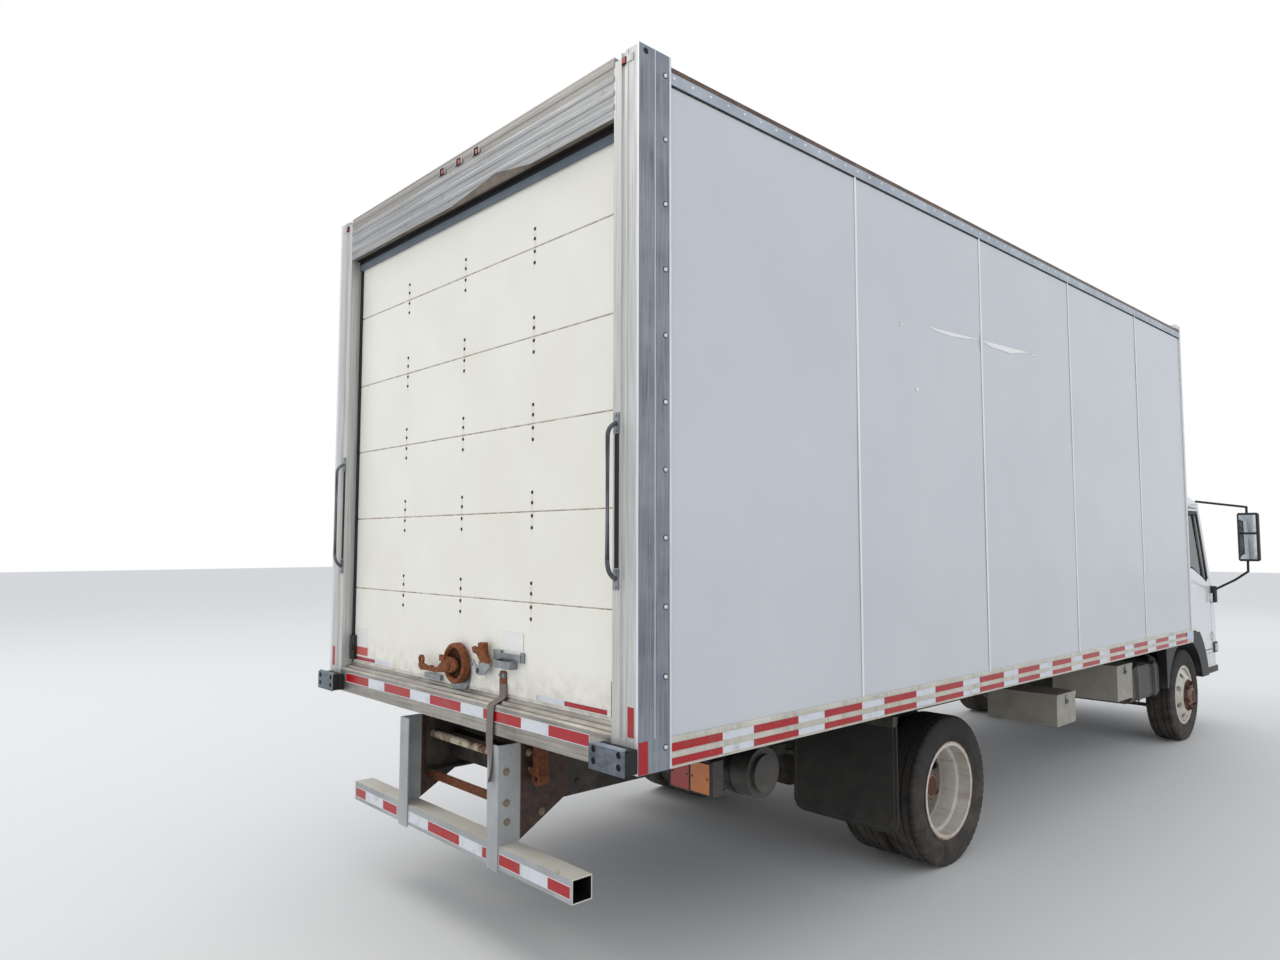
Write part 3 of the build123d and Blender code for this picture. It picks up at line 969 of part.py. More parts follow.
bumper = bumper_form(0) - bumper_form(BUMPER_WALL)
bumper = bumper - block((NOSE_X - 760, NOSE_X - 640),
                        (-CAB_SIDE + BUMPER_WALL, CAB_SIDE - BUMPER_WALL),
                        (BUMPER_Z[0] - 5, BUMPER_Z[2] + 5))
bumper = bumper - wheel_disc(FENDER_RADIUS + 12, WIDE)
bumper = bumper - block((tilt_x - 60, NOSE_X + 20), WIDE, (BUMPER_Z[1], BUMPER_Z[2] + 5))
stay_points = [(RAIL_X[1] - 120, FRAME_BASE), (RAIL_X[1] - 120, FRAME_BASE - 60),
               (NOSE_X, FRAME_BASE - 60), (NOSE_X, FRAME_BASE - 12), (RAIL_X[1] + 60, FRAME_BASE - 12),
               (RAIL_X[1], FRAME_BASE)]
stay = along_y(stay_points, (FLANGE_Y + 8, FRAME_SIDE - 8))
stay = stay & bumper_form(BUMPER_WALL)
keep("front_bumper", bumper, both_sides(stay))

# Black fenders over the front wheels, with their liners
FENDER_Y = (CAB_SIDE - 40, CAB_SIDE + 35)
LINER_Y = CAB_SIDE - 360
FENDER_BASE = 516.0
fender_zone = wheel_disc(FENDER_RADIUS, FENDER_Y)
fender_zone = fender_zone + block((CAB_REAR, FRONT_AXLE_X), FENDER_Y, (FENDER_BASE, DOOR_SILL_Z))
fender = fender_zone & block((CAB_REAR, NOSE_X), FENDER_Y, (FENDER_BASE, DOOR_SILL_Z))
fender = fender - wheel_disc(ARCH_RADIUS, WIDE)
liner = wheel_disc(ARCH_RADIUS + 10, (LINER_Y, FENDER_Y[0])) - wheel_disc(ARCH_RADIUS, WIDE)
liner = liner & block((CAB_REAR, NOSE_X), (LINER_Y, FENDER_Y[0]), (FENDER_BASE, DOOR_SILL_Z))
liner_tie = block((FRONT_AXLE_X - 120, FRONT_AXLE_X + 120), (LINER_Y + 20, LINER_Y + 80),
                  (AXLE_Z + ARCH_RADIUS - 8, DOOR_SILL_Z)) - wheel_disc(ARCH_RADIUS + 1, WIDE)
keep("front_fenders", both_sides(fender + liner + liner_tie))

# Seats, dashboard and steering wheel
SEAT_Y = (CAB_SIDE - 590, CAB_SIDE - 120)
SEAT_U = (440.0, 960.0)
SEAT_Z = 1210.0

seat_bases = []
seat_pads = []
for sign in (-1, 1):
    y = sorted((sign * SEAT_Y[0], sign * SEAT_Y[1]))
    seat_bases.append(block((CAB_REAR + SEAT_U[0] + 60, CAB_REAR + SEAT_U[1] - 60),
                            (y[0] + 50, y[1] - 50), (CAB_FLOOR_Z, SEAT_Z)))
    pad_z = (SEAT_Z + PIECE_GAP, SEAT_Z + 120)
    back_z = (pad_z[1] + PIECE_GAP, pad_z[1] + 545)
    head_z = (back_z[1] + PIECE_GAP, back_z[1] + 150)
    pad = block((CAB_REAR + SEAT_U[0], CAB_REAR + SEAT_U[1]), y, pad_z)
    back = along_y(cab_u([(SEAT_U[0] + 110, back_z[0]), (SEAT_U[0] + 10, back_z[0]),
                          (SEAT_U[0] - 100, back_z[1]), (SEAT_U[0] - 10, back_z[1])]), y)
    head = block((CAB_REAR + SEAT_U[0] - 100, CAB_REAR + SEAT_U[0] - 16), (y[0] + 110, y[1] - 110),
                 head_z)
    seat_pads.extend([pad, back, head])
for base in seat_bases:
    cab_floor = cab_floor + base
keep("cab_floor", cab_floor)
keep("seat_pads", seat_pads)
DASH_U = CAB_LENGTH - 510
dash_points = [(DASH_U + 40, 1150), (DASH_U, 1330), (DASH_U + 80, 1405), (DASH_U + 310, 1405),
               (DASH_U + 310, 1060), (DASH_U + 180, 1060)]
dash = along_y(cab_u(dash_points), (60 - CAB_SIDE, CAB_SIDE - 60)) & inner_form
DRIVER_Y = (SEAT_Y[0] + SEAT_Y[1]) / 2
STEERING_RADIUS = 195.0
STEERING_TILT = -42.0
wheel_at = (CAB_REAR + DASH_U - 100, DRIVER_Y, 1460.0)
column = rod((CAB_REAR + DASH_U + 70, DRIVER_Y, 1270), (wheel_at[0], DRIVER_Y, wheel_at[2] - 8), 26)
grip = [(STEERING_RADIUS + 15, 0), (STEERING_RADIUS + 7, 13), (STEERING_RADIUS - 7, 13),
        (STEERING_RADIUS - 15, 0), (STEERING_RADIUS - 7, -13), (STEERING_RADIUS + 7, -13)]
ring = revolve(Face(Polyline(*[(r, 0, z) for r, z in grip], close=True).wires()[0]), Axis.Z)
wheel_place = Pos(*wheel_at) * Rot(0, STEERING_TILT, 0)
ring = wheel_place * ring
spoke = wheel_place * Box(34, 2 * STEERING_RADIUS - 10, 18)
boss = wheel_place * Cylinder(52, 34)
keep("dashboard", dash + column + ring + spoke + boss)

# Mirrors on looped arms
MIRROR_Y = (CAB_SIDE + 234, CAB_SIDE + 410)
MIRROR_Z = (1600.0, 2072.0)
MIRROR_U = (CAB_LENGTH - 205, CAB_LENGTH - 135)
ARM_R = 11.0
head = block((CAB_REAR + MIRROR_U[0], CAB_REAR + MIRROR_U[1]), MIRROR_Y, MIRROR_Z)
head = chamfer(head.edges(), 14)
arm_x = CAB_REAR + MIRROR_U[1] - 20
base = block((NOSE_X - 266, NOSE_X - 200), (CAB_SIDE, CAB_SIDE + 42), (1290, 1346))
loop = [(NOSE_X - 233, CAB_SIDE + 20, 1310), (arm_x, CAB_SIDE + 190, 1416),
        (arm_x, CAB_SIDE + 300, 1500), (arm_x, CAB_SIDE + 310, 2129), (NOSE_X - 320, CAB_SIDE - 75, 2190)]
arms = base
for a, b in zip(loop, loop[1:]):
    arms = arms + rod(a, b, ARM_R) + Pos(*b) * Sphere(ARM_R)
arms = arms - outer_form
mirror_set = head + arms
keep("mirrors", both_sides(mirror_set))

# Roof lamps
lamps = []
for y in (220 - CAB_SIDE, 740 - CAB_SIDE, 0, CAB_SIDE - 740, CAB_SIDE - 220):
    lamps.append(block((NOSE_X - 800, NOSE_X - 720), (y - 30, y + 30),
                       (CAB_TOP_Z - 20, CAB_TOP_Z + 48)) - outer_form)
keep("cab_lamps", lamps)

for name, shape in nodes.items():
    export_step(shape, "parts/" + name + ".step")
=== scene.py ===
import bmesh
import bpy
import math
from mathutils import Matrix, Vector
from mathutils import noise as field


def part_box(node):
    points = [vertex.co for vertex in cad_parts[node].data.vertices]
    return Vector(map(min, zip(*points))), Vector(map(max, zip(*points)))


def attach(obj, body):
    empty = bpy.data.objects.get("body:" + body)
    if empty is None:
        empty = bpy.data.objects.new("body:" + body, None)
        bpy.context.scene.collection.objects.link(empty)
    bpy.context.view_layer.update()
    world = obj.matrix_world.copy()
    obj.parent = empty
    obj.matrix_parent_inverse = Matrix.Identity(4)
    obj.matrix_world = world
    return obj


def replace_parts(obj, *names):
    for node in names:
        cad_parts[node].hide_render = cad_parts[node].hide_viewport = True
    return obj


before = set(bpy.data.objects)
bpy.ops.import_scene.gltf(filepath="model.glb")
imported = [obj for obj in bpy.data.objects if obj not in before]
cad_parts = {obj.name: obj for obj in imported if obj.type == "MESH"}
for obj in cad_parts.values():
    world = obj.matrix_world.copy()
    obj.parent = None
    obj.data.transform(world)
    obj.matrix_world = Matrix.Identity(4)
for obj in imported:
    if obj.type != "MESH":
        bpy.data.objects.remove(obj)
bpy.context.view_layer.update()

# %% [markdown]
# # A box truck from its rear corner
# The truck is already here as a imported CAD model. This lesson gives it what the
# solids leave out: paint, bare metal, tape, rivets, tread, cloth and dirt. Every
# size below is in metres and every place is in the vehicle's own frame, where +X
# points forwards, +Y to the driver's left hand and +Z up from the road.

chassis = "chassis"
BOTH = (1, -1)
SIDES = ((1, "left"), (-1, "right"))
BODY_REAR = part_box("rear_posts")[0].x
BODY_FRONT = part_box("front_corners")[1].x
BODY_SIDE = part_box("rear_posts")[1].y
BODY_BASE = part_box("side_rails")[0].z
FRONT_AXLE, REAR_AXLE = [sum(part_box(node), Vector()) / 2 for node in ("front_tyre_left", "rear_tyres_left")]
TWIN_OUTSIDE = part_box("rear_tyres_left")[1].y
TYRE_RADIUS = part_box("front_tyre_left")[1].z / 2
print("body from", round(BODY_REAR, 3), "to", round(BODY_FRONT, 3), "half width", round(BODY_SIDE, 3))

# %% [markdown]
# ## The camera
# The photograph was taken standing close to the rear right corner with a wide
# lens, so the near post looms and the cab shrinks. The lens is set in millimetres
# on a 36 mm sensor, and the camera is turned by a heading and a small upward tilt.

# %% Camera
LENS_MM, SENSOR_MM = 24.576, 36.0
FARTHEST = 200.0
HEADING, TILT, ROLL = math.radians(47.422), math.radians(4.161), math.radians(0.097)
EYE = (BODY_REAR - 2.1038, -3.5926, BODY_BASE + 0.8116)
camera = bpy.data.objects.new("photo_camera", bpy.data.cameras.new("photo_camera"))
bpy.context.scene.collection.objects.link(camera)
bpy.context.scene.camera = camera
camera.data.lens, camera.data.sensor_width, camera.data.clip_end = LENS_MM, SENSOR_MM, FARTHEST
camera.location = EYE
aim = Vector((math.cos(TILT) * math.cos(HEADING), math.cos(TILT) * math.sin(HEADING), math.sin(TILT)))
camera.rotation_mode = "QUATERNION"
camera.rotation_quaternion = aim.to_track_quat("-Z", "Y") @ Matrix.Rotation(ROLL, 3, "Z").to_quaternion()
print("camera at", [round(v, 3) for v in camera.location])

# %% [markdown]
# ## Helpers for finishes
# A finish is a small tree of shader nodes. One function adds a node, sets its
# values and makes its links, so that each recipe below reads from top to bottom.
# Colours are written as sRGB hex values, as a paint chart gives them, and one
# function turns them into the linear values that the shader works in.

# %% Node and colour helpers
class bench:
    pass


def linear(code):
    """Linear RGBA from an sRGB hex value such as d8d4c6."""
    parts = [int(code[i:i + 2], 16) / 255 for i in (0, 2, 4)]
    return [p / 12.92 if p <= 0.04045 else ((p + 0.055) / 1.055) ** 2.4 for p in parts] + [1.0]


def feed(socket, value):
    """Gives a socket a value, a hex colour or another node's output."""
    if isinstance(value, bpy.types.NodeSocket):
        bench.tree.links.new(value, socket)
    else:
        socket.default_value = linear(value) if isinstance(value, str) else value


def add(kind, feeds=None, out=0, **settings):
    """Adds one shader node and returns one of its outputs. feeds maps sockets to what they get."""
    made = bench.tree.nodes.new("ShaderNode" + kind)
    for key, value in settings.items():
        setattr(made, key, value)
    for key, value in (feeds or {}).items():
        feed(made.inputs[key], value)
    return made.outputs[out]


def give(**sockets):
    """Feeds the shader's own sockets, with _ for the spaces in their names."""
    for key, value in sockets.items():
        feed(bench.shader.inputs[key.replace("_", " ")], value)


def finish(name, roughness, metallic=0.0, **sockets):
    """Starts a material with one Principled shader."""
    material = bpy.data.materials.new(name)
    material.use_nodes = True
    bench.tree = material.node_tree
    bench.shader = bench.tree.nodes["Principled BSDF"]
    give(Roughness=roughness, Metallic=metallic, **sockets)
    return material


print("a mid grey of 808080 is", round(linear("808080")[0], 3), "in linear light")

# %% Noise, ramps and blends
def place(scale=(1, 1, 1)):
    """The point of the surface in metres, each axis stretched by scale."""
    return add("Mapping", {"Vector": add("TexCoord", out="Object"), "Scale": scale})


def axis(number):
    """Where the surface is along X, Y or Z (0, 1 or 2)."""
    return add("SeparateXYZ", {0: add("TexCoord", out="Object")}, number)


def noise(size, detail=4.0, rough=0.5):
    """Cloudy noise with patches of one size in metres, or of three sizes along X, Y and Z."""
    one = isinstance(size, float)
    where = place() if one else place([1 / s for s in size])
    return add("TexNoise", {"Vector": where, "Scale": 1 / size if one else 1.0, "Detail": detail,
                            "Roughness": rough}, "Fac")


def waves(pitch, way):
    """Straight waves a pitch apart, across Y or Z."""
    return add("TexWave", {"Vector": place(), "Scale": 1 / pitch}, "Fac", bands_direction=way)


def ramp(value, low, high):
    """0 below low, 1 above high, a straight line between."""
    return add("MapRange", {"Value": value, "From Min": low, "From Max": high})


def patches(size, detail, rough, low, high):
    """Noise cut into patches between two levels."""
    return ramp(noise(size, detail, rough), low, high)


def spread(value, low, high):
    """A value from 0 to 1 spread between low and high."""
    return add("MapRange", {"Value": value, "To Min": low, "To Max": high})


def blend(amount, first, second):
    """Colour from first to second by amount."""
    return add("Mix", {0: amount, 6: first, 7: second}, 2, data_type="RGBA")


def times(first, second, operation="MULTIPLY"):
    """Two values multiplied, or joined by another sum, and held between 0 and 1."""
    return add("Math", {0: first, 1: second}, operation=operation, use_clamp=True)


def most(values):
    """The greatest of several values."""
    top = values[0]
    for value in values[1:]:
        top = times(top, value, "MAXIMUM")
    return top


def stain(tone, colour, amount, strength):
    """A tone with a colour laid over it by amount times strength."""
    return blend(times(amount, strength), tone, colour)


def less(first, second):
    return add("Math", {0: first, 1: second}, operation="SUBTRACT")


def apart(value, middle=None):
    """How far a value is from a middle, whichever way."""
    return add("Math", {0: value if middle is None else less(value, middle)}, operation="ABSOLUTE")


def beyond(number, start, soft=0.002):
    """0 before a place on an axis (0, 1 or 2), 1 beyond it. A negative soft turns it round."""
    return ramp(axis(number), start, start + soft)


def bump(height, depth, strength):
    """Relief of depth metres from a height between 0 and 1."""
    give(Normal=add("Bump", {"Height": height, "Distance": depth, "Strength": strength}))


print("a finish can take noise, waves, stains and relief")

# %% [markdown]
# ## Bare metal of the rear frame
# The posts, header, sill and side rails are extruded or folded aluminium and
# stainless steel. Rain has drawn vertical streaks down them, and oxide has dulled
# the shine into cloudy patches. The streaks are noise squeezed sideways, a few
# millimetres wide and as long as a forearm.

# %% Aluminium and steel
RAIN_STREAK = (0.006, 0.006, 0.30)
BRUSHED = (0.002, 0.002, 0.08)
OXIDE_BROWN = "5b4a3c"


def streaked_metal(name, light, dark, roughness, streak, spots=0.0, metallic=0.85):
    material = finish(name, roughness, metallic)
    clouds = noise(0.18, 5.0, 0.6)
    mixed = times(patches(streak, 3.0, 0.5, 0.35, 0.7), 0.55)
    mixed = times(mixed, times(ramp(clouds, 0.35, 0.75), 0.6), "ADD")
    colour = blend(mixed, light, dark)
    if spots:
        colour = stain(colour, OXIDE_BROWN, patches(0.05, 6.0, 0.65, 0.62, 0.72), spots)
    give(Base_Color=colour, Roughness=spread(clouds, roughness - 0.08, roughness + 0.14))
    bump(noise(BRUSHED, 2.0), 0.0003, 0.35)
    return material


sill_metal = streaked_metal("worn_aluminium_sill", "b6b2a8", "85807a", 0.46, (0.02, 0.30, 0.012), 0.35)
handle_steel = streaked_metal("worn_handle_steel", "808286", "4b4c50", 0.36, (0.05, 0.05, 0.08), 0.2)
zinc = streaked_metal("hot_dip_zinc", "a7abad", "767b80", 0.42, (0.05, 0.05, 0.08), 0.15)
# Near-white metal for rivet heads, screw domes and the posts' edges: a painted highlight.
highlight_metal = streaked_metal("metal_with_painted_highlight", "f0f1f2", "d3d5d8", 0.32, (0.01, 0.01, 0.4), metallic=0.6)
dock_steel = streaked_metal("scuffed_dock_plate", "7d858f", "4c525a", 0.36, (0.05, 0.05, 0.02), 0.2)
print("bare metals:", ", ".join(m.name for m in (sill_metal, handle_steel, zinc, highlight_metal, dock_steel)))

# %% [markdown]
# Some of these pieces change from place to place. The posts are pale extrusions
# across the tail, with a folded plate round their side that is painted dark and
# bluish as a reflection of sky, and a painted highlight along the rounded corner.
# The top rail is smooth aluminium, painted bluish as the same reflection, under a
# band that roof dirt has browned, and the bottom rail is a pale anodised extrusion.
# The guard's tube is painted cream, its uprights are grey, and the plates behind them
# are brown with rust; inside, the tube is painted near black as its shade. The header
# is streaked across its face, with a brown soffit behind it, then a hollow painted
# black as its shade and a blue-grey seal.

# %% Posts, rails, guard and header
RAIL_DIRT_FROM = BODY_BASE + 2.612
BETWEEN_RAILS = BODY_BASE + 1.5
TUBE_TOP = 0.4994
SHADED_BORE = ((0, BODY_REAR + 0.049, 0.0455), (2, 0.4525, 0.0430))   # axis, middle, half width
HEADER_LIP = BODY_BASE + 2.600
SEAL_TOP = BODY_BASE + 2.408


def post_finish():
    material = finish("weathered_post_extrusion", 0.44, 0.45)
    streaks = patches(RAIN_STREAK, 3.0, 0.5, 0.35, 0.7)
    clouds = noise(0.18, 5.0, 0.6)
    pale = blend(times(streaks, 0.8), "d6d6d2", "aeadaa")
    # Painted reflection: the folded side plate's dark bluish grey stands for sky reflected in the metal, not
    # its own colour.
    folded = stain(blend(streaks, "8d949d", "626871"), "a9aeb5", ramp(clouds, 0.4, 0.7), 0.5)
    across = apart(axis(1))
    # Painted highlight: a near-white band along the rounded outer corner of the pale face.
    pale = stain(pale, "eef0f2", ramp(across, BODY_SIDE - 0.020, BODY_SIDE - 0.011), 0.85)
    tone = blend(ramp(across, BODY_SIDE - 0.0015, BODY_SIDE - 0.0005), pale, folded)
    give(Base_Color=stain(tone, OXIDE_BROWN, patches(0.05, 6.0, 0.65, 0.62, 0.72), 0.12),
         Roughness=spread(clouds, 0.40, 0.56))
    bump(noise(BRUSHED, 2.0), 0.0003, 0.35)
    return material


def rail_finish():
    material = finish("anodised_side_rails", 0.34, 0.55)
    clouds = noise(0.22, 5.0, 0.6)
    roof_dirt = blend(patches(0.06, 6.0, 0.65, 0.3, 0.7), "4b3b31", "75604f")
    # Painted reflection: the upper rail's bluish grey stands for sky reflected in its smooth aluminium.
    upper = blend(ramp(clouds, 0.3, 0.75), "b9c1c9", "9aa3ac")
    upper = blend(beyond(2, RAIL_DIRT_FROM, 0.003), upper, roof_dirt)
    lower = blend(ramp(clouds, 0.35, 0.8), "d9d6cb", "bdb8aa")
    lower = stain(lower, "8f8271", patches((0.05, 0.05, 0.4), 4.0, 0.5, 0.55, 0.8), 0.5)
    give(Base_Color=blend(beyond(2, BETWEEN_RAILS), lower, upper), Roughness=spread(clouds, 0.26, 0.46))
    return material


def guard_finish():
    material = finish("painted_grey_guard", 0.5, 0.1)
    clouds = patches(0.3, 5.0, 0.6, 0.3, 0.75)
    grey, cream = blend(clouds, "b4b6b6", "8f9294"), blend(clouds, "e6e2d6", "cdc8ba")
    tube = times(beyond(2, TUBE_TOP, -0.0004), beyond(0, BODY_REAR + 0.0002, 0.0004))
    tone = stain(blend(tube, grey, cream), "6e5846", patches(0.05, 7.0, 0.7, 0.64, 0.70), 0.7)
    # Painted shade: the tube's inner faces are painted near black.
    bore_shade = times(*(ramp(apart(axis(n), middle), half, half - 0.0015) for n, middle, half in SHADED_BORE))
    behind = blend(patches(0.04, 7.0, 0.7, 0.35, 0.65), "2a211b", "54392a")
    give(Base_Color=blend(beyond(0, BODY_REAR + 0.104, 0.006), blend(bore_shade, tone, "1c1b1a"), behind))
    bump(noise(0.008, 5.0, 0.6), 0.0006, 0.5)
    return material


def header_finish():
    material = finish("oxidised_aluminium_header", 0.46, 0.6)
    streaks = patches((0.02, 0.35, 0.012), 4.0, 0.6, 0.35, 0.7)
    clouds = noise(0.15, 5.0, 0.6)
    face = blend(times(streaks, 0.8), "adaeae", "858585")
    face = stain(face, "9a9288", beyond(2, HEADER_LIP, 0.006), 0.6)
    face = stain(face, OXIDE_BROWN, patches(0.05, 6.0, 0.65, 0.60, 0.72), 0.3)
    soffit = blend(ramp(clouds, 0.3, 0.7), "8b8072", "5f554a")
    # Painted shade: the hollow behind the soffit, above the seal, is painted near black.
    hollow_shade = blend(beyond(2, SEAL_TOP, 0.003), blend(clouds, "6a7582", "535d69"), "0d0c0c")
    under = blend(beyond(0, BODY_REAR + 0.025, 0.004), soffit, hollow_shade)
    below = times(beyond(0, BODY_REAR + 0.0036, 0.0010), beyond(2, HEADER_LIP, -0.010))
    give(Base_Color=blend(below, face, under), Roughness=spread(clouds, 0.38, 0.58),
         Metallic=times(less(1.0, below), 0.6))
    bump(streaks, 0.0003, 0.3)
    return material


header_metal, post_metal = header_finish(), post_finish()
rail_metal, guard_metal = rail_finish(), guard_finish()
print("metals made")

# %% [markdown]
# ## Paint
# The side walls are aluminium sheet with a factory baked polyester coat: smooth,
# glossy and very slightly wavy, so that reflections swim in it. The door's slats
# are plywood with a warm white film that has yellowed near its rusty bolts. Paint
# is a dielectric with an IOR near 1.5, and the clear gloss comes from a coat.

# %% Painted surfaces
def paint(name, colour, roughness, worn, wear=0.0, dust="8d857a", dust_top=0.0, wave=0.0, coat=0.0):
    """Paint with cloudy fading, optional wear patches, dust rising from the road and a slow wave."""
    material = finish(name, roughness, IOR=1.5, Coat_Weight=coat, Coat_Roughness=0.06)
    tone = stain(colour, worn, ramp(noise(0.6), 0.3, 0.8), 0.5)
    if wear:
        tone = blend(patches(0.035, 6.0, 0.7, 0.70 - wear * 0.12, 0.76), tone, worn)
    if dust_top:
        amount = times(ramp(axis(2), dust_top, dust_top * 0.35), patches(0.09, 6.0, 0.6, 0.3, 0.7))
        tone = stain(tone, dust, amount, 0.75)
        give(Roughness=spread(amount, roughness, 0.85))
    give(Base_Color=tone)
    if wave:
        bump(noise((0.5, 0.5, 0.9), 2.0), wave, 0.6)
    else:
        bump(noise(0.004, 3.0), 0.0002, 0.25)
    return material


# The wall paint's cool blue-grey tint is partly a painted reflection of sky; the paint itself is white.
wall_paint = paint("baked_polyester_wall", "cdd1d5", 0.22, "bfc4c9", wave=0.003, coat=0.2)
roof_paint = paint("chalky_roof_coat", "cfcfcb", 0.5, "aaa69c", 0.5)
cab_paint = paint("white_cab_enamel", "e4e6e7", 0.22, "d4d6d6", dust_top=0.9, coat=0.5)
cap_paint = paint("white_corner_trim", "e8e9ea", 0.35, "c4c5c3", 0.3)
strip_white = paint("white_joint_strip", "f6f7f7", 0.35, "dcdcd8", 0.2)
frame_paint = paint("black_chassis_paint", "1d1c1b", 0.6, "3a332c", 0.7, "6b6257", 1.3)
hub_iron = paint("rusty_hub_iron", "5d3a28", 0.8, "33211a", 0.9)
# Matt near-white film: the painted highlight under the crease, and the small chips near it.
chip_and_highlight_film = paint("matt_chips_and_painted_crease_highlight", "f6f6f5", 0.8, "e6e4de", 0.2)
bolt_rust = paint("rusted_bolt_head", "4a3424", 0.8, "2c211a", 0.9)
bolt_tan = paint("weathered_bolt", "94846f", 0.65, "5d4a39", 0.7)
paper_sheet = paint("weathered_paper", "eeeeea", 0.9, "dad7cd", 0.4)
label_red = paint("faded_red_label", "c23a33", 0.45, "cf8f86", 0.4)
valve_brass = paint("dull_brass_valve", "5b4a30", 0.5, "2f2820", 0.5)
tank_paint = paint("black_tank_enamel", "232323", 0.4, "3d3a36", 0.3, dust_top=0.9)
box_paint = paint("grey_box_paint", "bab5a8", 0.45, "928d82", 0.4, dust_top=1.1)
print("paints made")

# %% [markdown]
# Rust is flaking orange over dark scale, and on some parts paint is left above a
# height or near the middle line. The wheels are white enamel with rust round the
# hub and along the rim's edge, and deep in the twin wheels a dark brown stands
# partly for road film and partly for painted shade.

# %% Rust and wheel enamel
def rust(name, bright, dark, left_paint=None, paint_above=None, paint_within=None):
    material = finish(name, 0.85, 0.1)
    scale = patches(0.02, 8.0, 0.7, 0.35, 0.65)
    tone = stain(blend(scale, dark, bright), "a8673a", patches(0.004, 4.0, 0.6, 0.4, 0.7), 0.4)
    if left_paint:
        kept = patches(0.05, 7.0, 0.7, 0.36, 0.58)
        if paint_above:
            kept = times(kept, beyond(2, paint_above, 0.004))
        if paint_within:
            kept = times(kept, ramp(apart(axis(1)), paint_within + 0.002, paint_within))
        tone = blend(kept, tone, left_paint)
    give(Base_Color=tone)
    bump(scale, 0.0015, 0.7)
    return material


HUB_RUST, EDGE_RUST = (0.150, 0.136), (0.250, 0.262)   # radii where the rust starts and is full
DISH_Y = TWIN_OUTSIDE - 0.176


def wheel_enamel():
    material = finish("white_wheel_enamel", 0.45, IOR=1.5, Coat_Weight=0.15)
    axle = spread(beyond(0, 0.0, -0.01), FRONT_AXLE.x, REAR_AXLE.x)
    flat = add("CombineXYZ", {0: less(axis(0), axle), 1: less(axis(2), TYRE_RADIUS)})
    away = add("VectorMath", {0: flat}, "Value", operation="LENGTH")
    cloud = noise(0.03, 7.0, 0.7)
    jagged = add("Math", {0: away, 1: spread(cloud, -0.018, 0.018)}, operation="ADD")
    dish_film_and_shade = blend(ramp(cloud, 0.35, 0.75), "4e463e", "6d6459")
    tone = blend(ramp(noise(0.12, 5.0), 0.3, 0.75), "dcd8cf", "c3bcae")
    for colour, amount, strength in (
            # Deep in the twin wheels' dish: road film and painted shade together.
            (dish_film_and_shade, ramp(apart(axis(1)), DISH_Y, DISH_Y - 0.012), 0.93),
            ("6f452c", ramp(jagged, *HUB_RUST), 0.85),
            ("94633f", ramp(jagged, *EDGE_RUST), 0.85),
            ("7a5237", patches(0.010, 4.0, 0.6, 0.66, 0.72), 0.8),
            ("8b7a66", patches((0.05, 1.0, 0.05), 6.0, 0.7, 0.50, 0.68), 0.4)):
        tone = stain(tone, colour, amount, strength)
    give(Base_Color=tone)
    bump(noise(0.006), 0.0004, 0.35)
    return material


steel_wheel = wheel_enamel()
lock_rust = rust("rusted_lock_steel", "9a5428", "3a2418")
# Near-black rust for the lock guard's sunken web: rust that also carries painted shade.
rust_and_hollow_shade = rust("rust_with_painted_hollow_shade", "4a2a18", "20140f")
brace_rust = rust("rusted_brace_steel", "7d4526", "33211a", "cfc6ad", 0.785, 0.436)
exhaust_steel = rust("heat_browned_exhaust", "6e5442", "3a322d", "7b746b")
print("rust and enamel made")

# %% [markdown]
# The roll door needs its own recipe, because its stains follow its bolts: every
# seam carries three columns of carriage bolts that weep rust downwards. The stain
# is a wave of thin vertical marks, kept near the bolt columns and fading below
# each seam, which the shader works out from the surface's own place on the door.

# %% Door film
BOLT_COLUMNS = (0.569, 0.010, -0.555)
DOOR_SEAMS = (0.562, 0.946, 1.322, 1.700, 2.092)
STAIN_FROM, STAIN_LONG = 0.07, 0.22
DOOR_GRIME = (BODY_BASE + 0.32, BODY_BASE + 0.15)


def door_film():
    material = finish("yellowed_door_film", 0.32, IOR=1.5, Coat_Weight=0.2)
    height = axis(2)
    columns = [ramp(apart(axis(1), column), 0.016, 0.003) for column in BOLT_COLUMNS]
    falls, lines = [], []
    for seam in DOOR_SEAMS:
        drop = less(BODY_BASE + seam + STAIN_FROM, height)
        falls.append(times(ramp(drop, STAIN_LONG, 0.0), ramp(drop, -0.005, 0.005)))
        lines.append(ramp(apart(height, BODY_BASE + seam), 0.0035, 0.0015))
    marks = times(times(most(columns), most(falls)), patches((1.0, 0.004, 0.12), 4.0, 0.5, 0.35, 0.7))
    grime = times(ramp(height, *DOOR_GRIME), patches(0.06, 6.0, 0.65, 0.4, 0.75))
    broken = times(most(lines), patches(0.05, 5.0, 0.6, 0.25, 0.6))
    tone = blend(ramp(noise(0.5), 0.3, 0.75), "f4f2e8", "ece9dd")
    tone = stain(stain(stain(tone, "b08358", marks, 0.55), "9a8a74", grime, 0.6), "8a6d4d", broken, 0.8)
    give(Base_Color=tone)
    bump(noise(0.003, 3.0), 0.0002, 0.3)
    return material


door_paint = door_film()
print("door film made")

# %% [markdown]
# ## Rubber, plastic, glass and lenses
# Rubber and moulded plastic are matt and dusty in their hollows. Road dust gathers
# low down, so both take a dust layer that fades with height, as the paint does.

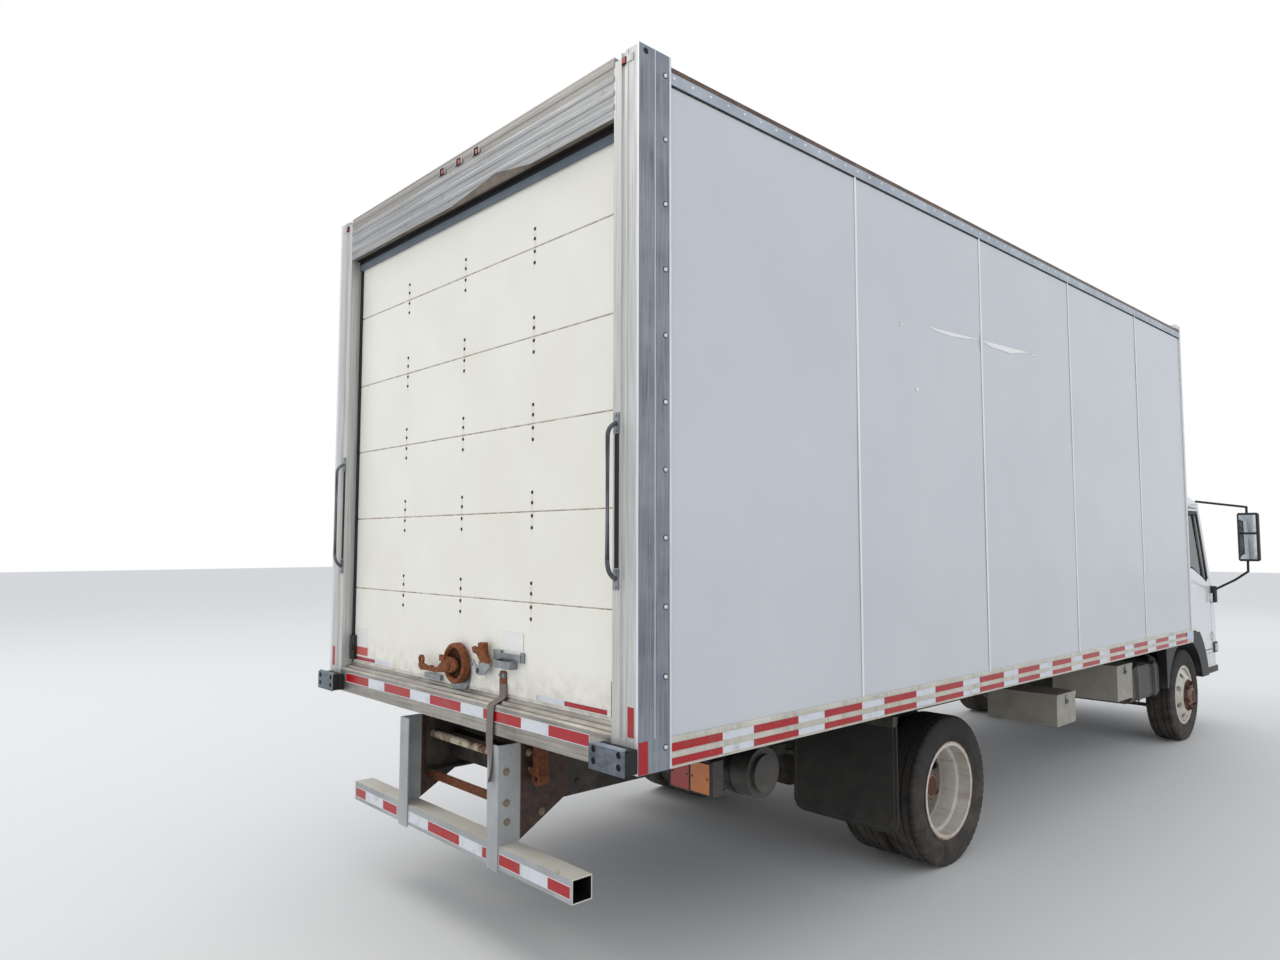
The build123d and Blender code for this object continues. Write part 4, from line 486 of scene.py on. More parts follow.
# %% Rubber and plastic
tyre_rubber = paint("dusty_tyre_rubber", "1f1e1e", 0.82, "2f2c2a", dust="5f574d", dust_top=0.80)
dock_rubber = paint("moulded_dock_rubber", "1c1c1c", 0.75, "2e2c2a", 0.3)
flap_rubber = paint("sheet_flap_rubber", "161615", 0.7, "2b2926", dust="4a443c", dust_top=0.9)
black_plastic = paint("moulded_black_plastic", "17181a", 0.5, "26272a", dust_top=0.7)
bead_rubber = paint("worn_flap_bead", "4b4a48", 0.65, "33312f", 0.3)
blue_film = paint("pale_blue_film", "c3d2e2", 0.4, "aebccb", 0.3)
seal_rubber = paint("door_seal_rubber", "1a1a1a", 0.8, "2a2826")
dash_plastic = paint("grained_dash_plastic", "3b3d40", 0.65, "2f3134")
engine_cast = paint("oily_cast_iron", "3a3a38", 0.6, "24211e", 0.6)
label_film = paint("blank_label_film", "efeeea", 0.4, "cfcbc2", 0.5)
black_steel = paint("black_powder_coat", "151515", 0.35, "2c2a28", 0.2)
faded_lens = paint("sun_faded_red_lens", "ad443c", 0.45, "7d2a24", 0.3)
print("rubber and plastic made")

# %% [markdown]
# Woven cloth is two crossed waves of threads. A lens is acrylic over a reflector, a
# deep colour with a rippled inner face. The cab's glass is dark from outside because
# the cab behind it is dim. Prismatic tape is a film over tiny diamond cells.

# %% Cloth, lenses, glass and tape
def woven(name, colour, second, pitch):
    """Cloth whose threads lie a pitch in metres apart."""
    material = finish(name, 0.9, IOR=1.45, Sheen_Weight=0.3)
    threads = times(*(waves(pitch / 0.314, way) for way in "YZ"), "MAXIMUM")
    give(Base_Color=stain(blend(threads, second, colour), "6c655b", patches(0.05, 6.0, 0.65, 0.5, 0.75), 0.5))
    bump(threads, 0.0004, 0.6)
    return material


def lens(name, colour, roughness=0.12):
    material = finish(name, roughness, IOR=1.49, Coat_Weight=0.6)
    ribs = waves(0.02, "Z")
    give(Base_Color=stain(colour, "000000", ribs, 0.5))
    bump(ribs, 0.0008, 0.4)
    return material


def tape(name, colour, second):
    material = finish(name, 0.34, IOR=1.45, Coat_Weight=0.15, Coat_Roughness=0.1)
    cells = add("TexVoronoi", {"Vector": place(), "Scale": 1 / 0.004}, "Distance")
    tone = stain(colour, second, ramp(cells, 0.2, 0.7), 0.5)
    give(Base_Color=stain(tone, "77695c", patches(0.07, 6.0, 0.65, 0.52, 0.72), 0.35))
    bump(cells, 0.0002, 0.3)
    return material


webbing = woven("faded_polyester_webbing", "7d716b", "564c48", 0.002)
seat_cloth = woven("grey_seat_cloth", "4d5157", "34373c", 0.003)
red_lens = lens("red_acrylic_lens", "b3130f")
amber_lens = lens("amber_acrylic_lens", "d9761a")
clear_lens = lens("clear_polycarbonate_lens", "b9c2c6", 0.08)
red_tape = tape("red_prismatic_tape", "b40d18", "930a14")
white_tape = tape("white_prismatic_tape", "dfe3e8", "c3c9d0")
glass = finish("tinted_safety_glass", 0.03, IOR=1.52, Transmission_Weight=0.88)
give(Base_Color=blend(ramp(noise(0.3), 0.3, 0.8), "5d6b68", "6d7a76"))
mirror_glass = finish("silvered_mirror_glass", 0.03, 1.0)
give(Base_Color=blend(ramp(noise(0.03), 0.3, 0.9), "d6dadb", "c6cbcc"))
print("cloth, lenses, glass and tape made")

# %% [markdown]
# ## Helpers for small metalwork
# Most of what is left is small and repeated: tape, rivets, bolts and strips. Each
# kind is gathered in one mesh, built from bevelled bars and turned profiles, so
# that edges catch the light as real ones do. A place is given once, for the left
# side, and a loop over both sides mirrors it.

# %% Mesh helpers
SHARP_FROM = math.radians(35)


def piece(name, mesh, materials, body=chassis, smooth=True):
    """Makes an object of a bmesh, gives it its materials and lets it ride on a body."""
    data = bpy.data.meshes.new(name)
    bmesh.ops.recalc_face_normals(mesh, faces=mesh.faces)
    mesh.to_mesh(data)
    mesh.free()
    obj = bpy.data.objects.new(name, data)
    bpy.context.scene.collection.objects.link(obj)
    for material in materials if isinstance(materials, tuple) else (materials,):
        data.materials.append(material)
    if smooth:
        data.shade_smooth()
        data.set_sharp_from_angle(angle=SHARP_FROM)
    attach(obj, body)
    return obj


def skin(mesh, rows, around=False, across=False):
    """Faces between rows of points. around also joins the last row to the first, across each row's ends."""
    for first, second in zip(rows, rows[1:] + rows[:1] * around):
        for corners in zip(first, second, second[1:] + second[:1] * across, first[1:] + first[:1] * across):
            mesh.faces.new(corners)


def bar(mesh, low, high, edge, index):
    """A bevelled bar between two corners."""
    low, high = Vector(map(min, low, high)), Vector(map(max, low, high))
    made = bmesh.ops.create_cube(mesh, size=1.0, matrix=Matrix.LocRotScale(
        (low + high) / 2, None, high - low))["verts"]
    faces = {f for v in made for f in v.link_faces}
    for face in faces:
        face.material_index = index
    if edge:
        edges = list({e for f in faces for e in f.edges})
        for face in bmesh.ops.bevel(mesh, geom=edges, offset=edge, segments=2, affect="EDGES",
                                    profile=0.6)["faces"]:
            face.material_index = index


def bars(mesh, origin, rows, edge=0.0, index=0, sides=(1,)):
    """Bars between corners measured from an origin, mirrored for each side. A row may add edge and index."""
    for side in sides:
        for low, high, *own in rows:
            corners = [(origin[0] + x, side * (origin[1] + y), origin[2] + z) for x, y, z in (low, high)]
            bar(mesh, *corners, *(own or (edge, index)))


def border(mesh, origin, low, high, width, edge, index=0):
    """Four bars round a rectangle that faces along X."""
    (x0, y0, z0), (x1, y1, z1) = low, high
    bars(mesh, origin, ((low, (x1, y1, z0 + width)), ((x0, y0, z1 - width), high),
                        (low, (x1, y0 + width, z1)), ((x0, y1 - width, z0), high)), edge, index)


print("edges over", round(math.degrees(SHARP_FROM)), "degrees stay sharp")

# %% Turned and swept shapes
def turned(mesh, centre, way, profile, steps, index=0):
    """A profile of (distance, radius) pairs turned about the way it faces, closed where the radius is 0."""
    spin = Vector(way).to_track_quat("Z", "Y").to_matrix()
    centre = Vector(centre)
    rings = []
    for along, radius in profile:
        turns = [math.tau * i / steps for i in range(steps)] if radius else [0.0]
        spots = [Vector((radius * math.cos(t), radius * math.sin(t), along)) for t in turns]
        rings.append([mesh.verts.new(centre + spin @ spot) for spot in spots])
    for pair in zip(rings, rings[1:]):
        first, second = (ring if len(ring) > 1 else ring * steps for ring in pair)
        for i in range(steps):
            j = (i + 1) % steps
            corners = list(dict.fromkeys((first[i], first[j], second[j], second[i])))
            if len(corners) > 2:
                mesh.faces.new(corners).material_index = index


def thicken(mesh, thickness):
    """Gives a single skin its thickness, once its faces all look the same way."""
    bmesh.ops.recalc_face_normals(mesh, faces=mesh.faces)
    mesh.normal_update()
    bmesh.ops.solidify(mesh, geom=mesh.faces[:], thickness=thickness)


def rivet(mesh, centre, way, radius, height, steps=8):
    """A domed head that sits on the surface."""
    turned(mesh, centre, way, [(-0.001, radius), (0.0, radius), (height * 0.6, radius * 0.8),
                               (height, radius * 0.35), (height, 0)], steps)


def bolt(mesh, centre, way, radius, height, washer=0.0, index=0):
    """A six-sided head, with a washer under it if asked for."""
    base = 0.003 if washer else 0.0
    if washer:
        turned(mesh, centre, way, [(0, 0), (0, washer), (base, washer), (base, 0)], 20, index)
    turned(mesh, centre, way, [(base, radius), (base + height * 0.8, radius),
                               (base + height, radius * 0.85), (base + height, 0)], 6, index)


def bead(mesh, points, radius, closed=True, sides=8):
    """A round bead along straight runs, mitred where they meet. An open one has closed ends."""
    points = [Vector(p) for p in points]
    rings = []
    for i, point in enumerate(points):
        before = points[i - 1] if closed or i else point
        after = points[(i + 1) % len(points)] if closed or i < len(points) - 1 else point
        ahead = ((point - before).normalized() + (after - point).normalized()).normalized()
        one = ahead.orthogonal().normalized()
        if rings:
            one = (previous - ahead * previous.dot(ahead)).normalized()
        previous = one
        two = ahead.cross(one)
        spots = [one * math.cos(t) + two * math.sin(t) for t in (math.tau * k / sides for k in range(sides))]
        rings.append([mesh.verts.new(point + spot * radius) for spot in spots])
    for first, second in zip(rings, rings[1:] + rings[:1] * closed):
        shift = min(range(sides), key=lambda s: (first[0].co - second[s].co).length)
        skin(mesh, [first, second[shift:] + second[:shift]], across=True)
    if not closed:
        mesh.faces.new(rings[0][::-1])
        mesh.faces.new(rings[-1])


print("rivets and bolts are turned, beads are swept")

# %% [markdown]
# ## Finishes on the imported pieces
# The CAD solids that already have the right shape keep it. They only trade their
# plain colour for the finish of the real piece.

# %% Dressing the solids
DRESS = {
    post_metal: ["rear_posts"],
    header_metal: ["rear_header"],
    rail_metal: ["side_rails"],
    sill_metal: ["rear_sill"],
    dock_steel: ["dock_plates"],
    guard_metal: ["underride_guard"],
    wall_paint: ["side_wall_left", "side_wall_right", "front_wall"],
    roof_paint: ["roof_panel"],
    cap_paint: ["front_corners"],
    door_paint: ["roll_door"],
    cab_paint: ["cab_back", "cab_door_left", "cab_door_right", "cab_front", "cab_roof", "cab_sides",
                "front_bumper"],
    frame_paint: ["ladder_frame", "body_floor", "cab_floor", "front_axle", "leaf_springs", "rear_axle",
                  "knuckle_left", "knuckle_right", "tie_rod", "tail_brackets"],
    brace_rust: ["tail_braces"],
    exhaust_steel: ["exhaust"],
    tank_paint: ["fuel_tank", "air_tank"],
    box_paint: ["equipment_boxes"],
    engine_cast: ["engine_block"],
    steel_wheel: ["front_rim_left", "front_rim_right", "rear_rims_left", "rear_rims_right"],
    tyre_rubber: ["front_tyre_left", "front_tyre_right", "rear_tyres_left", "rear_tyres_right"],
    dock_rubber: ["dock_rubbers"],
    flap_rubber: ["mud_flaps"],
    black_plastic: ["front_fenders", "grille", "mirrors"],
    dash_plastic: ["dashboard", "seat_pads"],
    black_steel: ["grab_handles", "pull_strap"],
    lock_rust: ["door_lock"],
    glass: ["cab_glass", "door_glass_left", "door_glass_right"],
    red_lens: ["red_lamps"],
    amber_lens: ["amber_lamps", "cab_lamps"],
    clear_lens: ["headlamps"],
}
for material, names in DRESS.items():
    for name in names:
        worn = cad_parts[name].data.materials
        for i in range(len(worn)):
            worn[i] = material
        if not worn:
            worn.append(material)
print(sum(len(names) for names in DRESS.values()), "nodes dressed")

# %% [markdown]
# ## Reflective tape
# Road law asks for red and white prismatic tape along the sides and the tail. It is
# a stiff film 0.4 mm thick, laid in the grooves of the side rails, on the sill's
# recessed band, on the guard and along the foot of the door. Each length is a thin
# bar of its own, so its cut ends show, and one mesh holds them all. Across the tail
# the red is printed on white, which leaves a thin pale border round it.

# %% Tape lengths
TAIL = (BODY_REAR, 0.0, BODY_BASE)
DOOR_FACE = 0.066
TAPE_THICK = 0.0004
GROOVE_FLOOR = (BODY_REAR, BODY_SIDE - 0.003, BODY_BASE)
TAPE_GROOVES = ((0.009, 0.035), (0.059, 0.089))
RED_LENGTH, WHITE_LENGTH = 0.290, 0.184
SIDE_TAPE = (0.167, 0.276, 6.135)   # start, first red (cut short by the post), end
RED_INSET = 0.003
POST_TAPE = (((0.003, 1.236, 0.126), (0.0026, 1.270, 0.232)),
             ((0.002, BODY_SIDE, 0.002), (0.047, BODY_SIDE + TAPE_THICK, 0.115)))
TAIL_TAPE = (
    # red lengths and white lengths from left to right, face behind the body's rear, lowest, highest
    (((1.087, 0.806), (0.631, 0.353), (0.166, -0.116), (-0.297, -0.586), (-0.768, -1.026)),
     ((0.806, 0.631), (0.353, 0.166), (-0.116, -0.297), (-0.586, -0.768)), 0.002, 0.0535, 0.1025),
    (((0.923, 0.803), (0.612, 0.461), (0.344, 0.342), (0.157, -0.125), (-0.307, -0.344), (-0.436, -0.592),
      (-0.774, -0.920)),
     ((0.803, 0.612), (0.342, 0.157), (-0.125, -0.307), (-0.592, -0.774)), 0.0, -0.527, -0.478),
    (((1.126, 0.870), (-0.786, -1.054)), ((0.870, 0.698), (-0.599, -0.786)), DOOR_FACE, 0.1645, 0.189),
)


def body_point(back, y, z):
    """A point given from the body's rear face, its middle line and its lower edge."""
    return Vector((BODY_REAR + back, y, BODY_BASE + z))


tape_mesh = bmesh.new()
laid = 4
for low, high in TAPE_GROOVES:
    start, length, end = SIDE_TAPE
    red = True
    while start + length < end:
        bars(tape_mesh, GROOVE_FLOOR, [((start, 0.0, low), (start + length, TAPE_THICK, high))],
             index=0 if red else 1, sides=BOTH)
        laid += 2
        start, red = start + length, not red
        length = RED_LENGTH if red else WHITE_LENGTH
for red, white, face, low, high in TAIL_TAPE:
    top = face - TAPE_THICK
    bars(tape_mesh, TAIL, [((face, left, low), (top, right, high)) for left, right in red + white], index=1)
    bars(tape_mesh, TAIL, [((top, left - RED_INSET, low + RED_INSET),
                            (top - TAPE_THICK / 2, right + RED_INSET, high - RED_INSET))
                           for left, right in red if left - right > 4 * RED_INSET])
    laid += len(red)
bars(tape_mesh, TAIL, POST_TAPE, sides=BOTH)
piece("reflective_tape", tape_mesh, (red_tape, white_tape), smooth=False)
print(laid, "lengths of tape")

# %% [markdown]
# ## Rivets, screws and strips of the body
# The side walls hang between the rails on rows of small dome rivets, about 104 mm
# apart, and the rear posts are held by screws about 250 mm apart. Rivet heads and
# screw domes are painted near white as highlights, and each screw dome sits on a
# dark ring of painted shadow. Thin white strips cover the joints of the wall sheets.
# One bmesh takes each kind, so hundreds of heads are one object.

# %% Rivets and joint strips
RIVET_ROWS = (
    # how many, the first one, the step to the next, the way it faces, radius, height
    (58, (0.182, BODY_SIDE, 2.594), (0.1035, 0, 0), (0, 1), 0.0075, 0.0040),
    (29, (0.30, BODY_SIDE, 0.1015), (0.2070, 0, 0), (0, 1), 0.0040, 0.0020),
    (23, (6.30, 1.262, 0.12), (0, 0, 0.11), (1, 0), 0.0052, 0.0026),
)
SCREWS, SCREW_LOWEST, SCREW_PITCH, SCREW_BACK = 11, 0.081, 0.2506, 0.134
SCREW_SHADOW_RING = [(0, 0.0115), (0.0008, 0.0115), (0.0008, 0)]
SCREW_DOME = [(0.0008, 0.0085), (0.0042, 0.0070), (0.0055, 0.0035), (0.0055, 0)]
SHEET_JOINTS = (1.407, 2.657, 3.913, 5.181)
wall_low, wall_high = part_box("side_wall_left")
WALL_FACE = wall_high.y
rivets, screws, strips = bmesh.new(), bmesh.new(), bmesh.new()
for side in BOTH:
    for count, first, step, way, radius, height in RIVET_ROWS:
        for i in range(count):
            back, y, z = Vector(first) + Vector(step) * i
            rivet(rivets, body_point(back, side * y, z), (way[0], side * way[1], 0), radius, height)
    for i in range(SCREWS):
        seat = body_point(SCREW_BACK, side * BODY_SIDE, SCREW_LOWEST + i * SCREW_PITCH)
        # Painted shadow: a dark rubber ring round the foot of each screw dome.
        turned(screws, seat, (0, side, 0), SCREW_SHADOW_RING, 14, 1)
        turned(screws, seat, (0, side, 0), SCREW_DOME, 14)
bars(strips, (BODY_REAR, WALL_FACE, 0.0),
     [((joint - 0.007, 0.0, wall_low.z), (joint + 0.007, 0.0040, wall_high.z)) for joint in SHEET_JOINTS],
     0.0012, sides=BOTH)
bars(strips, (BODY_FRONT, 0.0, 0.0),
     [((-0.052, WALL_FACE, wall_low.z), (-0.047, BODY_SIDE + 0.001, wall_high.z + 0.03))], 0.0005, sides=BOTH)
piece("body_rivets", rivets, highlight_metal)
piece("post_screws", screws, (highlight_metal, seal_rubber))
piece("sheet_joint_strips", strips, strip_white)
print("rivets, screws and strips fixed")

# %% [markdown]
# Black sealant closes the joints under the top rail and beside the rear posts. The
# posts carry a raised line and a folded front edge, both painted near white as
# highlights, and one dark plug hole.

# %% Sealant lines and post edges
SEALANT = (((0.165, 0.0, 2.560), (6.25, 0.003, 2.566)), ((0.1655, -0.001, 0.112), (0.170, 0.004, 2.56)))
POST_LINES = (((0.0790, -0.001, 0.118), (0.0825, 0.0010, 2.668), 0.0006, 0),
              ((0.1540, -0.001, 0.002), (0.1642, 0.0022, 2.669), 0.0010, 0))
sealant, edges = bmesh.new(), bmesh.new()
bars(sealant, (BODY_REAR, WALL_FACE, BODY_BASE), SEALANT, 0.001, sides=BOTH)
bars(edges, (BODY_REAR, BODY_SIDE, BODY_BASE), POST_LINES, sides=BOTH)
for side in BOTH:
    turned(sealant, body_point(0.033, side * BODY_SIDE, 2.647), (0, side, 0),
           [(-0.001, 0.012), (0.0006, 0.012), (0.0006, 0.0)], 16)
piece("wall_sealant", sealant, seal_rubber, smooth=False)
piece("post_folded_edges", edges, highlight_metal)
print("sealant and post edges laid")

# %% [markdown]
# ## The side walls as sheet metal
# A sheet this large is never flat. It bows a millimetre or two between its joint
# strips, which is what makes reflections swim, and the right wall has one long
# shallow crease where something leaned on it. A fine grid of vertices moved in
# code shows both, and the plain solid behind it stays for collision, hidden.

# %% Wavy walls
ACROSS, UP = 210, 90
BOWS = ((0.0022, 1.1, 3.0, 0.8), (0.0009, 3.1, 7.0, 2.3))   # depth, then how fast it changes along X, Y and Z
DENTS = ((0.62, 0.55, 0.0022), (4.4, 0.75, 0.0018), (5.6, 1.9, 0.0016))   # place behind, height, depth
CREASE = ((2.067, 1.954), (3.417, 1.998))
CREASE_DEPTH = 0.0060
WIDE_BELOW, WIDE_ABOVE = 0.055, 0.016
SHEET_BACK = BODY_SIDE - 0.008


def crease_depth(back, z):
    """How far the dent pushes the sheet in, deepest along a slanting line."""
    (x0, z0), (x1, z1) = CREASE
    along = ((back - x0) * (x1 - x0) + (z - z0) * (z1 - z0)) / ((x1 - x0) ** 2 + (z1 - z0) ** 2)
    if not -0.15 < along < 1.15:
        return 0.0
    away = (z - z0) - (z1 - z0) * (back - x0) / (x1 - x0)
    ends = max(0.0, 1 - (2 * along - 1) ** 6)
    return CREASE_DEPTH * ends * math.exp(-(away / (WIDE_BELOW if away < 0 else WIDE_ABOVE)) ** 2)


def wavy_wall(side, node):
    """A sheet bowed by slow noise, with its dents, and folded back along its rim."""
    low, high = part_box(node)
    mesh = bmesh.new()
    grid = []
    for i in range(ACROSS + 1):
        x = low.x + (high.x - low.x) * i / ACROSS
        row = []
        for j in range(UP + 1):
            z = low.z + (high.z - low.z) * j / UP
            edge = min(1.0, 8 * min(i / ACROSS, 1 - i / ACROSS), 8 * min(j / UP, 1 - j / UP))
            bow = sum(deep * field.noise(Vector((x * a, side * b, z * c))) for deep, a, b, c in BOWS)
            back, above = x - BODY_REAR, z - BODY_BASE
            dent = crease_depth(back, above) if side < 0 else 0.0
            dent += sum(c * math.exp(-((back - a) ** 2 + (above - b) ** 2) / 0.012) for a, b, c in DENTS)
            row.append(mesh.verts.new((x, side * (SHEET_BACK - 0.0012 + bow * edge - dent), z)))
        grid.append(row)
    skin(mesh, grid)
    rim = [e for e in mesh.edges if len(e.link_faces) == 1]
    made = bmesh.ops.extrude_edge_only(mesh, edges=rim)["geom"]
    for vert in [v for v in made if isinstance(v, bmesh.types.BMVert)]:
        vert.co.y = side * (SHEET_BACK - (high.y - low.y))
    bmesh.ops.contextual_create(mesh, geom=[e for e in made if isinstance(e, bmesh.types.BMEdge)])
    wall = piece(node.replace("side_wall", "wall_sheet"), mesh, wall_paint)
    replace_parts(wall, node)
    print(wall.name, len(wall.data.polygons), "faces")


for side, word in SIDES:
    wavy_wall(side, "side_wall_" + word)

# %% [markdown]
# Two pale slivers hang under the crease: a painted reflection of bright sky on the
# crease's lower side, laid as matt white film. Each is a sliver a third of a millimetre
# thick: straight along its upper edge, bellied below and pointed at both ends. Small
# chips lie near them.

# %% Painted highlights and chips on the right wall
SLIVERS = (
    # upper edge from, to, how deep the belly hangs
    ((2.080, 1.9535), (2.640, 1.9755), 0.022), ((2.690, 1.9770), (3.300, 1.9985), 0.040),
    ((3.322, 1.9975), (3.400, 1.9955), 0.010),
)
SLIVER_STEPS = 24
CHIPS = ((1.798, 1.934, 0.006), (1.800, 1.915, 0.007), (1.945, 1.603, 0.012))   # place behind, height, radius


def on_wall(back, z):
    """A point just outside the right wall, following its dent."""
    return body_point(back, -(SHEET_BACK + 0.0010 - crease_depth(back, z)), z)


# Painted highlight: matt white slivers under the crease stand for bright sky reflected in its lower side.
highlight_slivers_and_chips = bmesh.new()
for (x0, z0), (x1, z1), belly in SLIVERS:
    rows = []
    for i in range(SLIVER_STEPS + 1):
        t = i / SLIVER_STEPS
        back, z = x0 + (x1 - x0) * t, z0 + (z1 - z0) * t
        uneven = 0.8 + 0.3 * field.noise(Vector((t * 6, x0, 2.0)))
        drop = belly * math.sin(math.pi * t ** 0.8) * uneven + 0.0012
        rows.append([highlight_slivers_and_chips.verts.new(on_wall(back, z + dz)) for dz in (-drop, -drop * 0.5, 0.0)])
    skin(highlight_slivers_and_chips, rows)
thicken(highlight_slivers_and_chips, 0.0003)
for back, z, radius in CHIPS:
    turned(highlight_slivers_and_chips, on_wall(back, z), (0, -1, 0), [(0, radius), (0.0004, radius * 0.8), (0.0004, 0)], 9)
piece("wall_scrapes", highlight_slivers_and_chips, chip_and_highlight_film, smooth=False)
print(len(SLIVERS), "scrapes and", len(CHIPS), "chips")

# %% [markdown]
# ## Small fittings of the rear frame
# The header's three marker lamps show a small square of lens inside a rubber ring,
# between two metal ends of their housing. The posts' own markers are smaller, sun-faded
# lenses beside a metal end cap.

# %% Marker lamps
HEADER_LAMPS = (0.138, -0.017, -0.172)
CORNER_LAMP = (((-0.0006, 1.2240, 2.617), (0.004, 1.2600, 2.645), 0.0005, 1),
               ((-0.0012, 1.1970, 2.617), (0.004, 1.2240, 2.645), 0.0005, 2),
               ((-0.0042, 1.1998, 2.620), (0.004, 1.2212, 2.642), 0.0014, 0))
fittings, housings, corner_lamps = bmesh.new(), bmesh.new(), bmesh.new()
for y in HEADER_LAMPS:
    border(fittings, TAIL, (-0.0025, y - 0.018, 2.614), (0.004, y + 0.018, 2.648), 0.005, 0.0015)
    bars(housings, TAIL, [((-0.0015, y + side * 0.0165, 2.615), (0.004, y + side * 0.0345, 2.647))
                          for side in BOTH], 0.001)
bars(corner_lamps, TAIL, CORNER_LAMP, sides=BOTH)
piece("corner_marker_lamps", corner_lamps, (faded_lens, post_metal, seal_rubber), smooth=False)
piece("header_lamp_housings", housings, header_metal)
print(len(HEADER_LAMPS) + 2, "marker lamps")

# %% [markdown]
# The header's lower edge has been knocked up and folded in where something hit it.
# A sheet of points follows the edge: it lifts to the deepest place of the dent and
# comes down again, and it is wrinkled where it lifts.

# %% Bent lip
BENT_FROM, BENT_MOST, BENT_TO, BENT_LIFT = -0.605, -0.343, 0.056, 0.045
LIP_STEPS, LIP_Z = 48, 2.430
lip = bmesh.new()
rows = []
for i in range(LIP_STEPS + 1):
    y = BENT_FROM + (BENT_TO - BENT_FROM) * i / LIP_STEPS
    end = BENT_FROM if y < BENT_MOST else BENT_TO
    lift = BENT_LIFT * (y - end) / (BENT_MOST - end)
    wrinkle = 0.002 * field.noise(Vector((y * 14, 1.0, 5.0))) * min(1.0, lift / 0.01)
    rows.append([lip.verts.new(body_point(back, y, LIP_Z + z)) for back, z in
                 ((0.0032, lift), (0.0060, lift * 0.80 + wrinkle), (0.0105, lift * 0.25 - wrinkle),
                  (0.0150, -0.0008), (0.0240, -0.0010))])
skin(lip, rows)
thicken(lip, 0.0008)
piece("header_bent_lip", lip, header_metal)
print("lip bent up by", BENT_LIFT * 1000, "mm")

# %% [markdown]
# The grab handles are one length of worn steel tube, bent smoothly near each end, on
# bright feet held by two bolts each, with a dark strip behind the hand that is painted
# as the tube's shadow on the post. A swept ring of points along the bend gives the
# round that the solid's straight corners leave out. Strips of brush seal fill the gaps
# over the door and beside it.

# %% Handles and seals
HANDLE_Y = 1.1735
FOOT_Z = (0.681, 1.256)
FOOT_HALF, FOOT_FACE = (0.0145, 0.0385), -0.0028
TUBE_BACK, TUBE_HALF = -0.042, 0.0085
feet, tubes = bmesh.new(), bmesh.new()
# The first bar is a black strip behind the tube: the tube's painted shadow on the post.
bars(fittings, TAIL, [((0.003, 1.162, 0.722), (0.0005, 1.185, 1.216), 0.001, 0),
                      ((0.0600, 1.121, 0.190), (0.0655, 1.1495, 2.379), 0.002, 0)], sides=BOTH)
bars(fittings, TAIL, [((0.0535, -1.148, 2.379), (0.0655, 1.148, 2.400))], 0.002)


def bend(start, knee, end, steps=8):
    """Points along a smooth bend that is drawn towards its knee."""
    return [start.lerp(knee, i / steps).lerp(knee.lerp(end, i / steps), i / steps) for i in range(steps + 1)]


for side in BOTH:
    for z in FOOT_Z:
        bars(feet, TAIL, [((0.0032, HANDLE_Y - FOOT_HALF[0], z - FOOT_HALF[1]),
                           (FOOT_FACE, HANDLE_Y + FOOT_HALF[0], z + FOOT_HALF[1]))], 0.001, sides=(side,))
        for drop in (-0.029, 0.029):
            bolt(feet, body_point(FOOT_FACE, side * HANDLE_Y, z + drop), (-1, 0, 0), 0.0065, 0.004)
    foot, low_knee, low, high, high_knee, head = (
        body_point(back, side * HANDLE_Y, z) for back, z in (
            (0.0, FOOT_Z[0]), (TUBE_BACK, 0.698), (TUBE_BACK, 0.752),
            (TUBE_BACK, 1.203), (TUBE_BACK, 1.242), (0.0, FOOT_Z[1])))
    bead(tubes, bend(foot, low_knee, low) + bend(high, high_knee, head), TUBE_HALF, closed=False, sides=14)
piece("rear_rubber_fittings", fittings, seal_rubber, smooth=False)
piece("handle_feet", feet, zinc, smooth=False)
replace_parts(piece("bent_grab_tubes", tubes, handle_steel), "grab_handles")
print("rear fittings made")

# %% [markdown]
# ## Door bolts
# Each hinge between two slats is held by four carriage bolts, in three columns. The
# heads are shallow domes about 17 mm wide that have rusted dark brown.

# %% Door hinge bolts
BOLT_STEPS = (0.082, 0.038, -0.018, -0.068)
door_bolts = bmesh.new()
for column in BOLT_COLUMNS:
    for height in (seam + step for seam in DOOR_SEAMS for step in BOLT_STEPS):
        rivet(door_bolts, body_point(DOOR_FACE, column, height), (-1, 0, 0), 0.0085, 0.0035, 12)
piece("door_hinge_bolts", door_bolts, bolt_rust)
print(len(BOLT_COLUMNS) * len(DOOR_SEAMS) * len(BOLT_STEPS), "door bolts")

# %% [markdown]
# ## The door's lock, keeper and pull cup
# The lock is a lever pivoted in front of a round steel guard, and everything on
# it but the newer zinc parts has rusted. Flat steel parts like these are cut from
# plate, so one helper turns an outline drawn on the door's own plane into a plate
# of a given thickness with softened edges.

# %% Plate helper
def cut_plate(mesh, outline, near, far, edge, index):
    """A plate from (y, z) points in mm on the door's plane, between two distances from the body's rear."""
    ring = [mesh.verts.new(body_point(near, y / 1000, z / 1000)) for y, z in outline]
    face = mesh.faces.new(ring)
    made = bmesh.ops.extrude_face_region(mesh, geom=[face])["geom"]
    for vert in [v for v in made if isinstance(v, bmesh.types.BMVert)]:
        vert.co.x += far - near
    faces = {f for f in made if isinstance(f, bmesh.types.BMFace)} | {f for v in ring for f in v.link_faces}
    for one in faces:
        one.material_index = index
    rim = [e for e in {e for f in faces for e in f.edges} if e.calc_face_angle(0) > 0.6]
    for one in bmesh.ops.bevel(mesh, geom=rim, offset=edge, segments=2, affect="EDGES")["faces"]:
        one.material_index = index


print("plates are cut from outlines on the door's plane")

